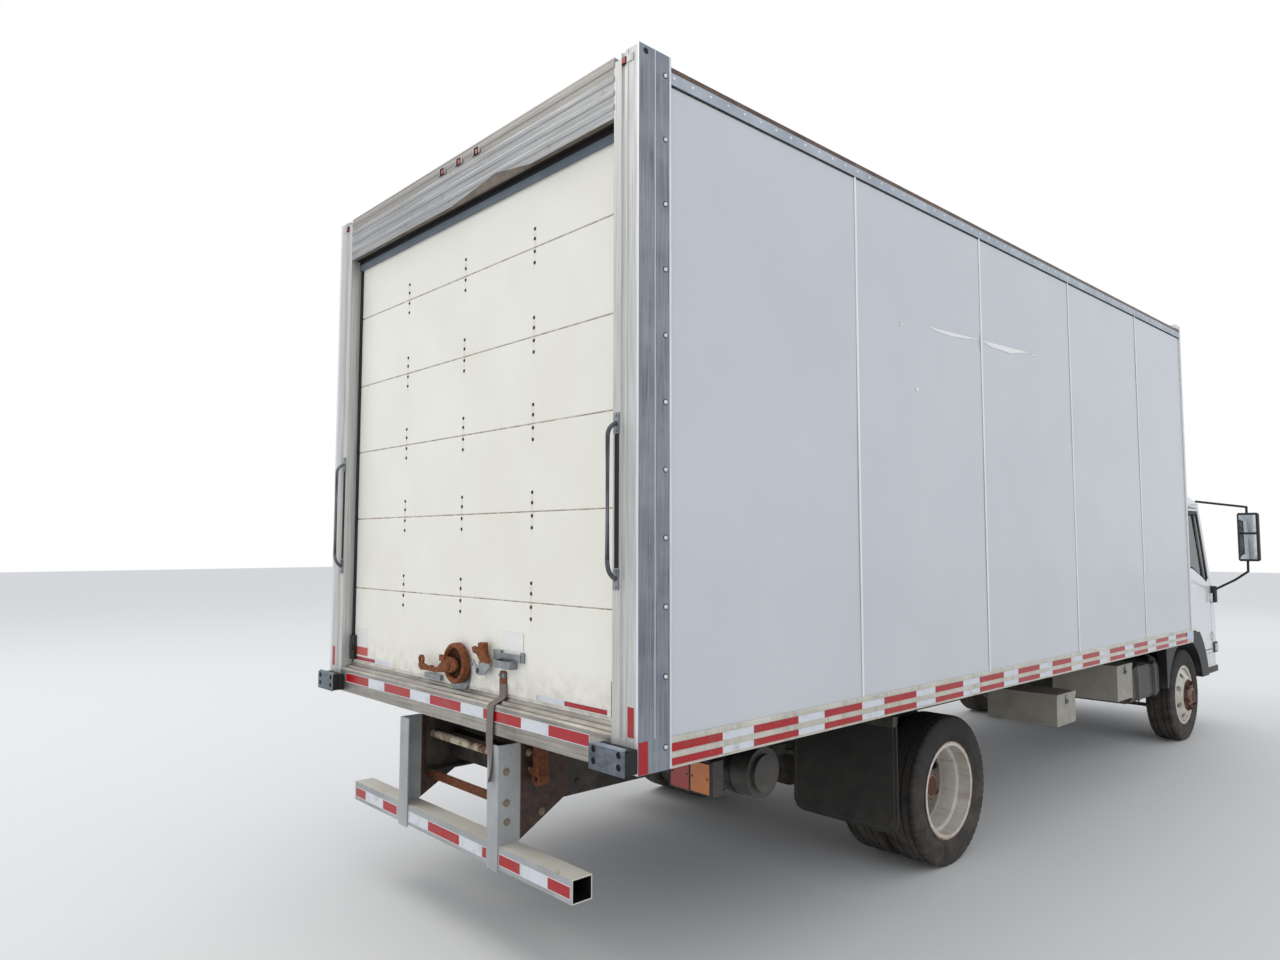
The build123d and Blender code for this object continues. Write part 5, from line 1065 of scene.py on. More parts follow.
# %% [markdown]
# The guard is a round dish with a rolled rim. Its web is sunk so far back that it
# lies in shadow, so its faces are painted a near-black rust as that shade, and the
# lever's hub stands out of it. Behind it a thin zinc disc lies flat against the door.
# The keeper is a rusted fork above and a zinc curl below, whose hole is a thin black
# disc of painted shade. The pull cup is a flange with turned-up ends over a folded
# zinc box, open at its top. A plate with two bolts holds the strap, and black brackets
# hold the door's tracks at its foot.

# %% Lock and guard
RUSTED, NEW_ZINC, BLACK, SHADED_HOLLOW = range(4)
GUARD_AT = body_point(0, -0.011, 0.260)
WEB_RADIUS, WEB_BACK = 0.070, 0.029
PLATES = (
    # outline in mm, near, far, edge, finish
    ([(92, 276), (47, 287), (-7, 285), (-40, 268), (-49, 250), (-47, 238), (-4, 217), (69, 211), (92, 222)],
     0.014, 0.030, 0.003, RUSTED),
    ([(308, 236), (262, 236), (218, 226), (136, 226), (106, 249), (84, 262), (70, 250), (74, 211), (145, 203),
      (228, 204), (292, 200), (310, 216)], 0.016, 0.027, 0.003, RUSTED),
    ([(-206, 300), (-190, 318), (-160, 322), (-150, 346), (-168, 352), (-206, 345), (-214, 372), (-262, 376),
      (-270, 360), (-262, 330), (-292, 296), (-290, 284), (-226, 286)], 0.030, 0.044, 0.002, RUSTED),
    ([(-226, 290), (-292, 292), (-294, 268), (-254, 232), (-214, 226), (-184, 228), (-176, 250), (-164, 274),
      (-156, 276), (-150, 262), (-142, 270), (-158, 292), (-180, 272), (-206, 266)],
     0.034, 0.041, 0.0015, NEW_ZINC),
    ([(-333, 166), (-333, 252), (-340, 259), (-378, 259), (-385, 252), (-385, 166)],
     0.060, DOOR_FACE, 0.0012, RUSTED),
)
LOCK_TURNED = (
    # centre, the way it faces along X, profile, steps, finish
    ((0.0, -0.011, 0.260), 1,
     [(0.050, 0.0), (0.048, 0.050), (0.044, 0.066), (0.030, 0.069), (0.022, 0.072), (0.017, 0.079),
      (0.018, 0.087), (0.024, 0.092), (0.034, 0.0935), (0.052, 0.0930), (0.054, 0.090), (0.054, 0.0)],
     56, RUSTED),
    ((0.0, 0.0, 0.226), 1, [(0.060, 0.0), (0.060, 0.099), (0.0625, 0.099), (0.0625, 0.0)], 40, NEW_ZINC),
    ((0.014, 0.030, 0.250), -1, [(0, 0.026), (0.006, 0.025), (0.009, 0.017), (0.010, 0.0)], 24, RUSTED),
    ((0.030, 0.022, 0.250), 1, [(0, 0.040), (0.018, 0.034)], 24, SHADED_HOLLOW),
    ((0.017, 0.286, 0.250), 1,
     [(0, 0.011), (0, 0.023), (0.010, 0.023), (0.010, 0.011), (0, 0.011)], 28, RUSTED),
    # Painted shade: a thin black disc on the keeper's zinc curl stands for its hole.
    ((0.0335, -0.198, 0.246), 1, [(0, 0), (0, 0.013), (0.0006, 0.013), (0.0006, 0)], 20, BLACK),
    *(((0.046, y, 0.236), -1, [(0, 0.018), (0.006, 0.017), (0.008, 0)], 16, BLACK) for y in (1.120, -1.120)),
)
LOCK_BARS = (
    # two corners, edge, finish
    ((0.008, 0.052, 0.262), (0.020, 0.098, 0.292), 0.003, RUSTED),
    ((0.027, 0.246, 0.206), (DOOR_FACE, 0.258, 0.222), 0.002, RUSTED),
    ((DOOR_FACE - 0.020, 0.152, 0.160), (DOOR_FACE, 0.300, 0.186), 0.002, NEW_ZINC),
    ((0.020, -0.262, 0.350), (0.044, -0.218, 0.372), 0.003, RUSTED),
    ((0.040, -0.230, 0.262), (DOOR_FACE, -0.200, 0.340), 0.002, RUSTED),
    ((0.052, -0.500, 0.306), (0.055, -0.296, 0.338), 0.001, NEW_ZINC),
    ((0.055, -0.518, 0.306), (DOOR_FACE, -0.494, 0.349), 0.002, NEW_ZINC),
    ((0.050, -0.352, 0.330), (DOOR_FACE, -0.296, 0.348), 0.002, NEW_ZINC),
    ((0.026, -0.462, 0.276), (0.029, -0.346, 0.308), 0.001, NEW_ZINC),
    ((0.026, -0.462, 0.276), (DOOR_FACE, -0.459, 0.312), 0.001, NEW_ZINC),
    ((0.026, -0.349, 0.276), (DOOR_FACE, -0.346, 0.312), 0.001, NEW_ZINC),
    ((0.026, -0.462, 0.276), (DOOR_FACE, -0.346, 0.279), 0.001, NEW_ZINC),
)
lock = bmesh.new()
for centre, way, profile, steps, index in LOCK_TURNED:
    turned(lock, body_point(*centre), (way, 0, 0), profile, steps, index)
# Painted shade: faces of the sunken web take the near-black rust that stands for its shadow.
for face in lock.faces:
    spots = [v.co - GUARD_AT for v in face.verts]
    if face.material_index == RUSTED and all(p.yz.length < WEB_RADIUS and p.x > WEB_BACK for p in spots):
        face.material_index = SHADED_HOLLOW
for outline, near, far, edge, index in PLATES:
    cut_plate(lock, outline, near, far, edge, index)
bars(lock, TAIL, LOCK_BARS)
bars(lock, TAIL, [((0.046, 1.096, 0.168), (DOOR_FACE, 1.144, 0.300), 0.002, BLACK)], sides=BOTH)
for y in (-0.346, -0.372):
    bolt(lock, body_point(0.060, y, 0.240), (-1, 0, 0), 0.0085, 0.006, 0.012, NEW_ZINC)
door_lock = piece("door_lock_set", lock, (lock_rust, zinc, black_steel, rust_and_hollow_shade))
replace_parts(door_lock, "door_lock")
print("lock set with", len(door_lock.data.polygons), "faces")

# %% [markdown]
# ## Paper and labels
# A torn sheet of paper still clings over the cup, and two labels are stuck at the
# door's lower left. All are bare here. Paper buckles, so its grid of points is
# moved in and out by a slow noise.

# %% Blank paper and labels
SHEET_GRID = (16, 12)


def stuck_sheet(name, corner, size, material, lift, torn=0.0):
    """A thin sheet on the door: its top left corner, its width and height, and how torn its edge is."""
    mesh = bmesh.new()
    across, down = SHEET_GRID
    grid = []
    for i in range(across + 1):
        row = []
        for j in range(down + 1):
            y, z = corner[0] - size[0] * i / across, corner[1] - size[1] * j / down
            if torn and (i in (0, across) or j in (0, down)):
                shift = torn * field.noise(Vector((y * 60, z * 60, 1.0)))
                y, z = y + shift, z + shift * 0.7
            out = lift * (0.6 + 0.4 * field.noise(Vector((y * 30, z * 30, 4.0))))
            row.append(mesh.verts.new(body_point(DOOR_FACE - 0.0002 - out, y, z)))
        grid.append(row)
    skin(mesh, grid)
    thicken(mesh, 0.0002)
    piece(name, mesh, material)


stuck_sheet("torn_paper", (-0.345, 0.430), (0.160, 0.080), paper_sheet, 0.003, 0.006)
stuck_sheet("blank_label_upper", (1.118, 0.345), (0.156, 0.104), label_film, 0.0006)
stuck_sheet("blank_label_lower", (1.118, 0.240), (0.156, 0.044), label_red, 0.0006)
print("three sheets stuck")

# %% [markdown]
# ## The pull strap
# A length of 50 mm polyester webbing is bolted under the plate, lies over the sill
# and hangs behind the right upright. It is a flat ribbon that follows its path on a
# smooth line, twists most of a quarter turn near its end and gathers there.

# %% Webbing strap
STRAP_Y = -0.367
STRAP_WIDE, STRAP_THICK = 0.050, 0.0016
STRAP_ROUTE = (
    # behind the body's rear, across from STRAP_Y, above the body's lower edge
    (0.0575, 0, 0.205), (0.0565, 0, 0.170), (0.0520, 0, 0.150), (0.0380, 0, 0.1425), (0.0200, 0, 0.1345),
    (0.0020, 0, 0.1265), (-0.0060, 0, 0.1130), (-0.0080, 0, 0.080), (-0.0100, 0, 0.020),
    (-0.0120, -0.003, -0.050), (-0.0150, -0.008, -0.120), (-0.0180, -0.012, -0.196),
)
TWIST, TWIST_FROM = math.radians(70), 0.62
CUPPED, GATHERED = 0.010, 0.12


def smooth_line(points, steps):
    """Points along a Catmull-Rom line through the route."""
    line = []
    pts = [Vector(p) for p in points]
    pts = [pts[0] * 2 - pts[1]] + pts + [pts[-1] * 2 - pts[-2]]
    for a, b, c, d in zip(pts, pts[1:], pts[2:], pts[3:]):
        for t in (i / steps for i in range(steps)):
            line.append(0.5 * (2 * b + (c - a) * t + (2 * a - 5 * b + 4 * c - d) * t * t
                               + (3 * b - a - 3 * c + d) * t ** 3))
    return line + [pts[-2]]


line = smooth_line([(back, STRAP_Y + y, z) for back, y, z in STRAP_ROUTE], 8)
strap_length = sum((b - a).length for a, b in zip(line, line[1:]))
mesh = bmesh.new()
run, rows = 0.0, []
for i, point in enumerate(line):
    ahead = line[min(i + 1, len(line) - 1)] - line[max(i - 1, 0)]
    run += (point - line[i - 1]).length if i else 0.0
    end = max(0.0, (run / strap_length - TWIST_FROM) / (1 - TWIST_FROM))
    twist = TWIST * end * end
    wide = Vector((math.sin(twist), math.cos(twist), 0.0))
    outward = ahead.normalized().cross(wide)
    rows.append([mesh.verts.new(body_point(*(point + wide * u * STRAP_WIDE * (1 - GATHERED * end)
                                             + outward * CUPPED * end * (u * 2) ** 2)))
                 for u in (j / 6 - 0.5 for j in range(7))])
skin(mesh, rows)
thicken(mesh, STRAP_THICK)
strap = piece("pull_strap_webbing", mesh, webbing)
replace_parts(strap, "pull_strap")
print("strap is", round(strap_length, 3), "m long")

# %% [markdown]
# ## Tyres
# A truck tyre is a moulded ring whose wall bulges beside the rim and turns over a
# square shoulder into the tread. The section is drawn once as distances from the
# wheel's own middle plane and from its axle, turned round the axle, and every few
# degrees the outer points drop to cut the cross grooves. The road flattens nothing
# here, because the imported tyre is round.

# %% Tyre section and tread
WALL_SECTION = (
    # distance from the middle plane, radius
    (0.0955, 0.2625), (0.1005, 0.2665), (0.1015, 0.2760), (0.0985, 0.2800), (0.1035, 0.2900),
    (0.1065, 0.3080), (0.1075, 0.3260), (0.1062, 0.3420), (0.1062, 0.3432), (0.1072, 0.3436),
    (0.1060, 0.3540), (0.1030, 0.3700), (0.1012, 0.3790), (0.1022, 0.3812), (0.1000, 0.3905),
    (0.0940, 0.3985), (0.0900, 0.4015),
)
HALF_SECTION, TYRE_HALF = 0.1075, 0.108
SHOULDER_Y, SHOULDER_R = 0.083, TYRE_RADIUS - 0.0006
CUT_FROM = 0.379   # cross cuts begin at this radius
GROOVES = (0.072, 0.030, -0.030, -0.072)
GROOVE_HALF, GROOVE_CUT = 0.0045, 0.011
CROSS_CUTS, STEPS_PER_CUT, CROSS_DEPTH = 60, 4, 0.0075
LEAN = math.radians(2.2)


def tread_section():
    """From one bead over the tread to the other: (distance, radius, weight of the cross cut)."""
    wall = [(y, r, 1.0 if r > CUT_FROM else 0.0) for y, r in WALL_SECTION]
    crown = [(SHOULDER_Y, SHOULDER_R, 1.0)]
    for middle in GROOVES:
        for part, cut in ((1, 0.0), (0.6, GROOVE_CUT), (-0.6, GROOVE_CUT), (-1, 0.0)):
            rib = 1.0 if abs(middle) > 0.05 and part * middle > 0 else 0.35
            crown.append((middle + part * GROOVE_HALF, TYRE_RADIUS - cut, 0.0 if cut else rib))
    return wall + crown + [(-SHOULDER_Y, SHOULDER_R, 1.0)] + [(-y, r, w) for y, r, w in reversed(wall)]


def tyres(node, body, planes):
    """One piece for each packed tyre node, with a tyre at each middle plane along Y."""
    low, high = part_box(node)
    middle = (low + high) / 2
    steps = CROSS_CUTS * STEPS_PER_CUT
    mesh = bmesh.new()
    for plane in planes:
        rows = []
        for i in range(steps):
            drop = 0.0 if i % STEPS_PER_CUT else CROSS_DEPTH
            row = []
            for y, radius, weight in tread_section():
                radius -= drop * weight
                angle = math.tau * i / steps + LEAN * abs(y) / HALF_SECTION
                row.append(mesh.verts.new((middle.x + radius * math.sin(angle), plane + y,
                                           middle.z + radius * math.cos(angle))))
            rows.append(row)
        skin(mesh, rows, around=True, across=True)
    made = piece(node.replace("tyre", "moulded_tyre"), mesh, tyre_rubber, body)
    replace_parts(made, node)
    print(made.name, len(made.data.polygons), "faces")


for side, word in SIDES:
    tyres("front_tyre_" + word, "wheel_front_" + word, [side * FRONT_AXLE.y])
    rear_low, rear_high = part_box("rear_tyres_" + word)
    tyres("rear_tyres_" + word, "wheels_rear_" + word, [rear_low.y + TYRE_HALF, rear_high.y - TYRE_HALF])

# %% [markdown]
# ## Wheel nuts, hub rings and valves
# Six flanged nuts hold each wheel on its studs. The hub's flange behind them has
# rusted, and its rust has run over the white disc. A brass valve comes out beside
# one hand hole. Inside the twin wheels' outer barrel the rim steps down to its well,
# a ring that the solids leave plain.

# %% Wheel fittings
NUTS, NUT_CIRCLE = 6, 0.1115
CAP_BOLTS, CAP_CIRCLE = 8, 0.069
FRONT_DISC = FRONT_AXLE.y + 0.130
REAR_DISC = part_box("rear_tyres_left")[0].y + TYRE_HALF + 0.130 + 0.011
HUB_RING = [(0.0002, 0.083), (0.0002, 0.137), (0.0045, 0.134), (0.0060, 0.128), (0.0060, 0.083)]
NUT_PARTS = (
    # profile, steps: flange, nut and stud
    ([(0.0, 0.0225), (0.004, 0.0215), (0.006, 0.018)], 18),
    ([(0.005, 0.0185), (0.021, 0.0185), (0.024, 0.0155), (0.024, 0.0108)], 6),
    ([(0.020, 0.0108), (0.034, 0.0108), (0.036, 0.009), (0.036, 0.0)], 12),
)
VALVE = [(0.0, 0.005), (0.030, 0.005), (0.032, 0.0062), (0.047, 0.0062), (0.049, 0.0)]
RIM_WELL = [(0.024, 0.2388), (0.014, 0.2240), (0.006, 0.2215), (-0.0835, 0.2190), (-0.0690, 0.2388),
            (0.024, 0.2388)]


def wheel_fittings(where, body, x, face, side, hub_out):
    """Nuts, studs, a hub ring, a hub cap and a valve on one wheel's outer disc."""
    out = (0, side, 0)

    def spot(radius, away, turn=0.0):
        return Vector((x + radius * math.cos(turn), side * (face + away),
                       TYRE_RADIUS + radius * math.sin(turn)))

    mesh, valve = bmesh.new(), bmesh.new()
    turned(mesh, spot(0, 0), out, HUB_RING, 48)
    for i in range(NUTS):
        for profile, steps in NUT_PARTS:
            turned(mesh, spot(NUT_CIRCLE, 0.006, math.tau * (i + 0.25) / NUTS), out, profile, steps)
    turned(mesh, spot(0, hub_out), out, [(-0.004, 0.0575), (0.0015, 0.052), (0.004, 0.030), (0.004, 0.0)], 32)
    for i in range(CAP_BOLTS):
        bolt(mesh, spot(CAP_CIRCLE, hub_out - 0.013, math.tau * i / CAP_BOLTS), out, 0.007, 0.006)
    turned(valve, spot(0.186, -0.052), (0.35, side, 0.0), VALVE, 10)
    piece("wheel_nuts_" + where, mesh, hub_iron, body)
    piece("wheel_valve_" + where, valve, valve_brass, body)


for side, word in SIDES:
    well = bmesh.new()
    turned(well, (REAR_AXLE.x, side * (TWIN_OUTSIDE - TYRE_HALF), TYRE_RADIUS), (0, side, 0), RIM_WELL, 72)
    bmesh.ops.remove_doubles(well, verts=well.verts, dist=1e-5)
    piece("rear_rim_well_" + word, well, steel_wheel, "wheels_rear_" + word)
    wheel_fittings("front_" + word, "wheel_front_" + word, FRONT_AXLE.x, FRONT_DISC, side, 0.040)
    wheel_fittings("rear_" + word, "wheels_rear_" + word, REAR_AXLE.x, REAR_DISC, side, 0.107)
print("wheel nuts on a circle of", NUT_CIRCLE * 2000, "mm")

# %% [markdown]
# ## Seats
# The seats show only through the cab's glass, but they are cushions all the same:
# crowned foam in a woven cover with a sunken channel down each side. Each is a
# block of grid points pushed out into a pillow by a curve that is full in the
# middle and falls off at the edges, with channels pressed in where the seams run.

# %% Seat cushions
CUSHION_CUTS = 17
CHANNEL_HALF = 0.012
PINCH = 0.06
SKIN = 0.001


def cushion(name, low, high, lean=0.0, crown=0.022, channels=(0.24, 0.76)):
    """A padded block between two corners. lean moves its top backwards, as a backrest does."""
    mesh = bmesh.new()
    low, size = Vector(low), Vector(high) - Vector(low)
    bmesh.ops.create_cube(mesh, size=1.0)
    bmesh.ops.subdivide_edges(mesh, edges=mesh.edges[:], cuts=CUSHION_CUTS, use_grid_fill=True)
    for vert in mesh.verts:
        p = Vector([c + 0.5 for c in vert.co])
        fall = [1 - (2 * c - 1) ** 8 for c in p]
        pinch = PINCH * (1 - min(fall[0] * fall[1], fall[1] * fall[2], fall[0] * fall[2]) ** 0.5)
        seam = sum(math.exp(-((p.y - c) / CHANNEL_HALF) ** 2) for c in channels)
        depth = crown * (0.35 - 0.55 * seam) if min(min(c, 1 - c) for c in p) < SKIN else 0.0
        way = Vector([-1 if c < SKIN else 1 if c > 1 - SKIN else 0 for c in p])
        full = (1 - (2 * p.y - 1) ** 4) * (1 - (2 * (p.x if size.x > size.z else p.z) - 1) ** 4)
        vert.co = low + (p + (Vector((0.5, 0.5, 0.5)) - p) * pinch) * size + way * (depth * full - 0.002)
        vert.co.x -= lean * p.z
    return piece(name, mesh, seat_cloth, "cab")


cushions = []
seat_low, seat_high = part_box("seat_pads")
SEAT_IN, SEAT_OUT, SEAT_BACK = 0.410, seat_high.y, seat_low.x
PAD_TOP = seat_low.z + 0.120
BACK_TOP = PAD_TOP + 0.545
for side, word in ((1, "driver"), (-1, "passenger")):
    y0, y1 = sorted((side * SEAT_IN, side * SEAT_OUT))
    cushions += [
        cushion("seat_pad_" + word, (SEAT_BACK + 0.106, y0 + 0.006, seat_low.z + 0.002),
                (SEAT_BACK + 0.612, y1 - 0.006, PAD_TOP - 0.006)),
        cushion("seat_back_" + word, (SEAT_BACK + 0.118, y0 + 0.010, PAD_TOP + 0.004),
                (SEAT_BACK + 0.200, y1 - 0.010, BACK_TOP - 0.004), 0.112),
        cushion("seat_head_" + word, (SEAT_BACK + 0.006, y0 + 0.118, BACK_TOP + 0.006),
                (SEAT_BACK + 0.078, y1 - 0.118, seat_high.z - 0.004), 0.0, 0.014, ())]
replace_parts(cushions[0], "seat_pads")
print(len(cushions), "cushions")

# %% [markdown]
# ## Rubber, seams and trim of the cab
# Black rubber frames the glass. Each rubber is a bead run round its opening, so it
# follows the outline that the panel was cut to: the points of the opening are
# given as distances from the cab's rear and heights, and their place across the
# cab is worked out from how far the side leans in above the belt.
# A broad black band masks the door's frame in front of its glass and over it.

# %% Cab rubbers
CAB_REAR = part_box("cab_back")[0].x
CAB_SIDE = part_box("cab_sides")[1].y
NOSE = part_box("cab_front")[1].x
BELT_Z, ROOF_LINE_Z, LEAN_IN = 1.352, 2.158, 0.035
NOSE_STATIONS = (
    # height, how far the skin stands back from the nose
    (0.705, 0.015), (1.044, 0.0), (1.352, 0.072), (2.158, 0.275), (2.225, 0.360),
)
NOSE_BOW = 0.055
WINDOW = ((0.690, 1.545), (0.976, 1.543), (1.385, 1.405), (1.398, 1.425), (1.252, 2.050), (0.690, 2.050))
MASK_INNER = ((1.398, 1.425), (1.252, 2.050), (0.690, 2.050))
MASK_OUTER = ((1.446, 1.425), (1.290, 2.088), (0.690, 2.088))
MASK_STEPS = 10
SCREEN = ((-0.870, 1.395), (0.870, 1.395), (0.815, 2.100), (-0.815, 2.100))
SCREEN_STEPS = 12
REAR_WINDOW = ((-0.480, 1.480), (0.480, 1.480), (0.480, 1.980), (-0.480, 1.980))


def side_skin(z):
    """Half width of the cab's skin at a height."""
    return CAB_SIDE - LEAN_IN * max(0.0, min(1.0, (z - BELT_Z) / (ROOF_LINE_Z - BELT_Z)))


def nose_skin(y, z):
    """Forward place of the cab's front skin at a height and across the cab."""
    back = NOSE_STATIONS[-1][1]
    for (z0, b0), (z1, b1) in zip(NOSE_STATIONS, NOSE_STATIONS[1:]):
        if z0 <= z <= z1:
            back = b0 + (b1 - b0) * (z - z0) / (z1 - z0)
            break
    return NOSE - back - NOSE_BOW * (abs(y) / side_skin(z)) ** 2


for side, word in SIDES:
    rubber = bmesh.new()
    bead(rubber, [(CAB_REAR + u, side * (side_skin(z) - 0.001), z) for u, z in WINDOW], 0.008)
    piece("door_window_rubber_" + word, rubber, seal_rubber, "door_" + word)

for side, word in SIDES:
    mask = bmesh.new()
    rows = []
    for i in range(2 * MASK_STEPS + 1):
        k = min(i // MASK_STEPS, 1)
        spots = [Vector(a[k]).lerp(Vector(a[k + 1]), i / MASK_STEPS - k) for a in (MASK_INNER, MASK_OUTER)]
        rows.append([mask.verts.new((CAB_REAR + u, side * (side_skin(z) + 0.0012), z)) for u, z in spots])
    skin(mask, rows)
    thicken(mask, 0.001)
    piece("door_window_mask_" + word, mask, black_plastic, "door_" + word)

outline = []
for start, end in zip(SCREEN, SCREEN[1:] + SCREEN[:1]):
    for i in range(SCREEN_STEPS):
        y, z = Vector(start).lerp(Vector(end), i / SCREEN_STEPS)
        outline.append((nose_skin(y, z) + 0.001, y, z))
screen_rubber = bmesh.new()
bead(screen_rubber, outline, 0.011)
bead(screen_rubber, [(CAB_REAR - 0.002, y, z) for y, z in REAR_WINDOW], 0.010)
piece("cab_glass_rubber", screen_rubber, seal_rubber, "cab")
print("cab rubbers run")

# %% [markdown]
# Three wipers rest on the screen's foot. A wiper is an arm, a spring bow and a
# blade, and here the bow and blade are thin bars along the glass.

# %% Wipers
WIPERS = ((0.50, 0.02), (0.02, -0.46), (-0.42, -0.80))   # across the nose: where it turns, where its arm ends
PIVOT_Z, ARM_END_Z, BLADE_Z, BLADE_END = 1.372, 1.46, 1.445, -0.84
PIVOT_CAP = [(0, 0.016), (0.014, 0.014), (0.022, 0.008), (0.022, 0)]
wipers = bmesh.new()
for pivot, tip in WIPERS:
    foot = Vector((nose_skin(pivot, PIVOT_Z) + 0.012, pivot, PIVOT_Z))
    end = Vector((nose_skin(tip, ARM_END_Z) + 0.020, tip, ARM_END_Z))
    bead(wipers, [foot, foot.lerp(end, 0.5) + Vector((0.018, 0, 0.004)), end], 0.006, closed=False)
    turned(wipers, foot - Vector((0.012, 0, 0)), (1, 0, 0), PIVOT_CAP, 16)
    left, right = tip + 0.30, max(tip - 0.20, BLADE_END)
    bead(wipers, [(nose_skin(y, BLADE_Z) + 0.008, y, BLADE_Z + 0.06 * (left - y)) for y in
                  (left, left - 0.12, tip, right + 0.08, right)], 0.0055, closed=False)
piece("screen_wipers", wipers, black_plastic, "cab")
print(len(WIPERS), "wipers")

# %% [markdown]
# ## Cab trim, lamps and mirrors
# The dark pieces that finish a cab: the trim under a clear side lamp low on each
# front corner, the moulded feet of the mirrors' lower arms, black ends on the bumper
# and the treads of its steps.

# %% Cab trim
CORNER = (NOSE, CAB_SIDE, 0.0)
TREADS = (-0.56, -0.51, -0.46, -0.41, -0.36, -0.31)
trim, bumper_trim, side_lenses = bmesh.new(), bmesh.new(), bmesh.new()
bars(trim, CORNER, [((-0.252, -0.034, 0.700), (-0.132, 0.012, 0.802), 0.008, 0),
                    ((-0.268, -0.012, 1.190), (-0.196, 0.044, 1.352), 0.012, 0)], sides=BOTH)
bars(side_lenses, CORNER, [((-0.244, 0.001, 0.714), (-0.142, 0.020, 0.788))], 0.006, sides=BOTH)
bars(bumper_trim, CORNER, [((-0.50, -0.030, 0.512), (-0.130, 0.006, 0.572))], 0.008, sides=BOTH)
bars(bumper_trim, CORNER, [((x, -0.14, 0.505), (x + 0.03, -0.02, 0.516)) for x in TREADS], 0.002, sides=BOTH)
piece("cab_black_trim", trim, black_plastic, "cab")
piece("bumper_end_trim", bumper_trim, black_plastic)
piece("cab_side_lenses", side_lenses, clear_lens, "cab")
print("cab trim made")

# %% [markdown]
# A headlamp is a clear lens over two round reflectors. The lens is a solid already,
# so each reflector is a shallow bright dish with a bulb cap, turned about the
# nose's own outward direction there, and a black bead frames the opening. The
# mirrors get their glass, and the bumper a bare number plate in a black frame.

# %% Headlamps, mirrors and plate
LAMP_MIDDLE = 0.870
REFLECTORS = (0.707, 0.833)
REFLECTOR = [(0.0, 0.0565), (0.0050, 0.0565), (0.0060, 0.0530), (0.0032, 0.0480), (0.0028, 0.0200),
             (0.0060, 0.0150), (0.0070, 0.0)]
LAMP_FRAME = ((0.640, 0.800), (0.770, 0.800), (0.900, 0.800), (0.900, 0.940), (0.770, 0.940), (0.640, 0.940))
MIRROR_X, MIRROR_GLASSES = NOSE - 0.206, ((1.620, 1.860), (1.880, 2.050))
BUMPER_FACE = (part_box("front_bumper")[1].x, 0.0, 0.0)


def nose_out(y, z):
    """The direction straight out of the nose at one of its points."""
    along = (nose_skin(y + 0.05, z) - nose_skin(y - 0.05, z)) / 0.1
    up = (nose_skin(y, z + 0.05) - nose_skin(y, z - 0.05)) / 0.1
    return Vector((1, -along, -up)).normalized()


reflectors, lamp_frames, faces, plate = bmesh.new(), bmesh.new(), bmesh.new(), bmesh.new()
for side in BOTH:
    for y in REFLECTORS:
        out = nose_out(side * y, LAMP_MIDDLE)
        seat = Vector((nose_skin(y, LAMP_MIDDLE), side * y, LAMP_MIDDLE)) - out * 0.0085
        turned(reflectors, seat, out, REFLECTOR, 36)
    bead(lamp_frames, [(nose_skin(y, z) - 0.003, side * y, z) for y, z in LAMP_FRAME], 0.006)
bars(faces, (MIRROR_X, 0.0, 0.0), [((0.001, 1.252, low), (-0.0015, 1.392, high))
                                   for low, high in MIRROR_GLASSES], 0.001, sides=BOTH)
bars(plate, BUMPER_FACE, [((-0.004, -0.155, 0.540), (0.004, 0.155, 0.640))], 0.001)
border(plate, BUMPER_FACE, (-0.004, -0.160, 0.535), (0.006, 0.160, 0.645), 0.006, 0.001, 1)
for y in (-0.09, 0.09):
    bolt(plate, (BUMPER_FACE[0] + 0.004, y, 0.628), (1, 0, 0), 0.006, 0.004)
piece("headlamp_reflectors", reflectors, mirror_glass, "cab")
piece("headlamp_frames", lamp_frames, black_plastic, "cab")
piece("mirror_faces", faces, mirror_glass, "cab")
piece("bare_number_plate", plate, (label_film, black_plastic))
print("headlamps, mirror glass and plate made")

# %% [markdown]
# Door handles sit in dark scoops, and the panels are parted by shut lines that are
# already open in the solids. A lock barrel and the drip rail over the door finish
# the side.

# %% Door handles and drip rails
LOCK_BARREL = [(0, 0.013), (0.003, 0.012), (0.003, 0.006), (0.001, 0.005), (0.001, 0.0)]
SCOOP = ((0.676, -0.001, 1.222), (0.806, 0.0015, 1.284))
DRIP_Z, DRIP_ALONG = 2.14, (0.10, 0.50, 0.90, 1.27)
drips = bmesh.new()
for side, word in SIDES:
    scoop = bmesh.new()
    bars(scoop, (CAB_REAR, CAB_SIDE, 0.0), [SCOOP], 0.001, sides=(side,))
    turned(scoop, (CAB_REAR + 0.845, side * CAB_SIDE, 1.250), (0, side, 0), LOCK_BARREL, 18)
    piece("door_handle_scoop_" + word, scoop, black_plastic, "door_" + word)
    bead(drips, [(CAB_REAR + u, side * (side_skin(DRIP_Z) + 0.004), DRIP_Z) for u in DRIP_ALONG], 0.006,
         closed=False)
piece("cab_drip_rails", drips, cab_paint, "cab")
print("handles and drip rails made")

# %% [markdown]
# ## Under the body
# The chassis is bolted and riveted steel, so heads run along it in rows: pairs on
# the frame rails, big washered bolts through the guard's uprights, and clamps round
# the springs. A U-bolt of those is a round bar bent over the spring, with its
# threaded ends below the axle.

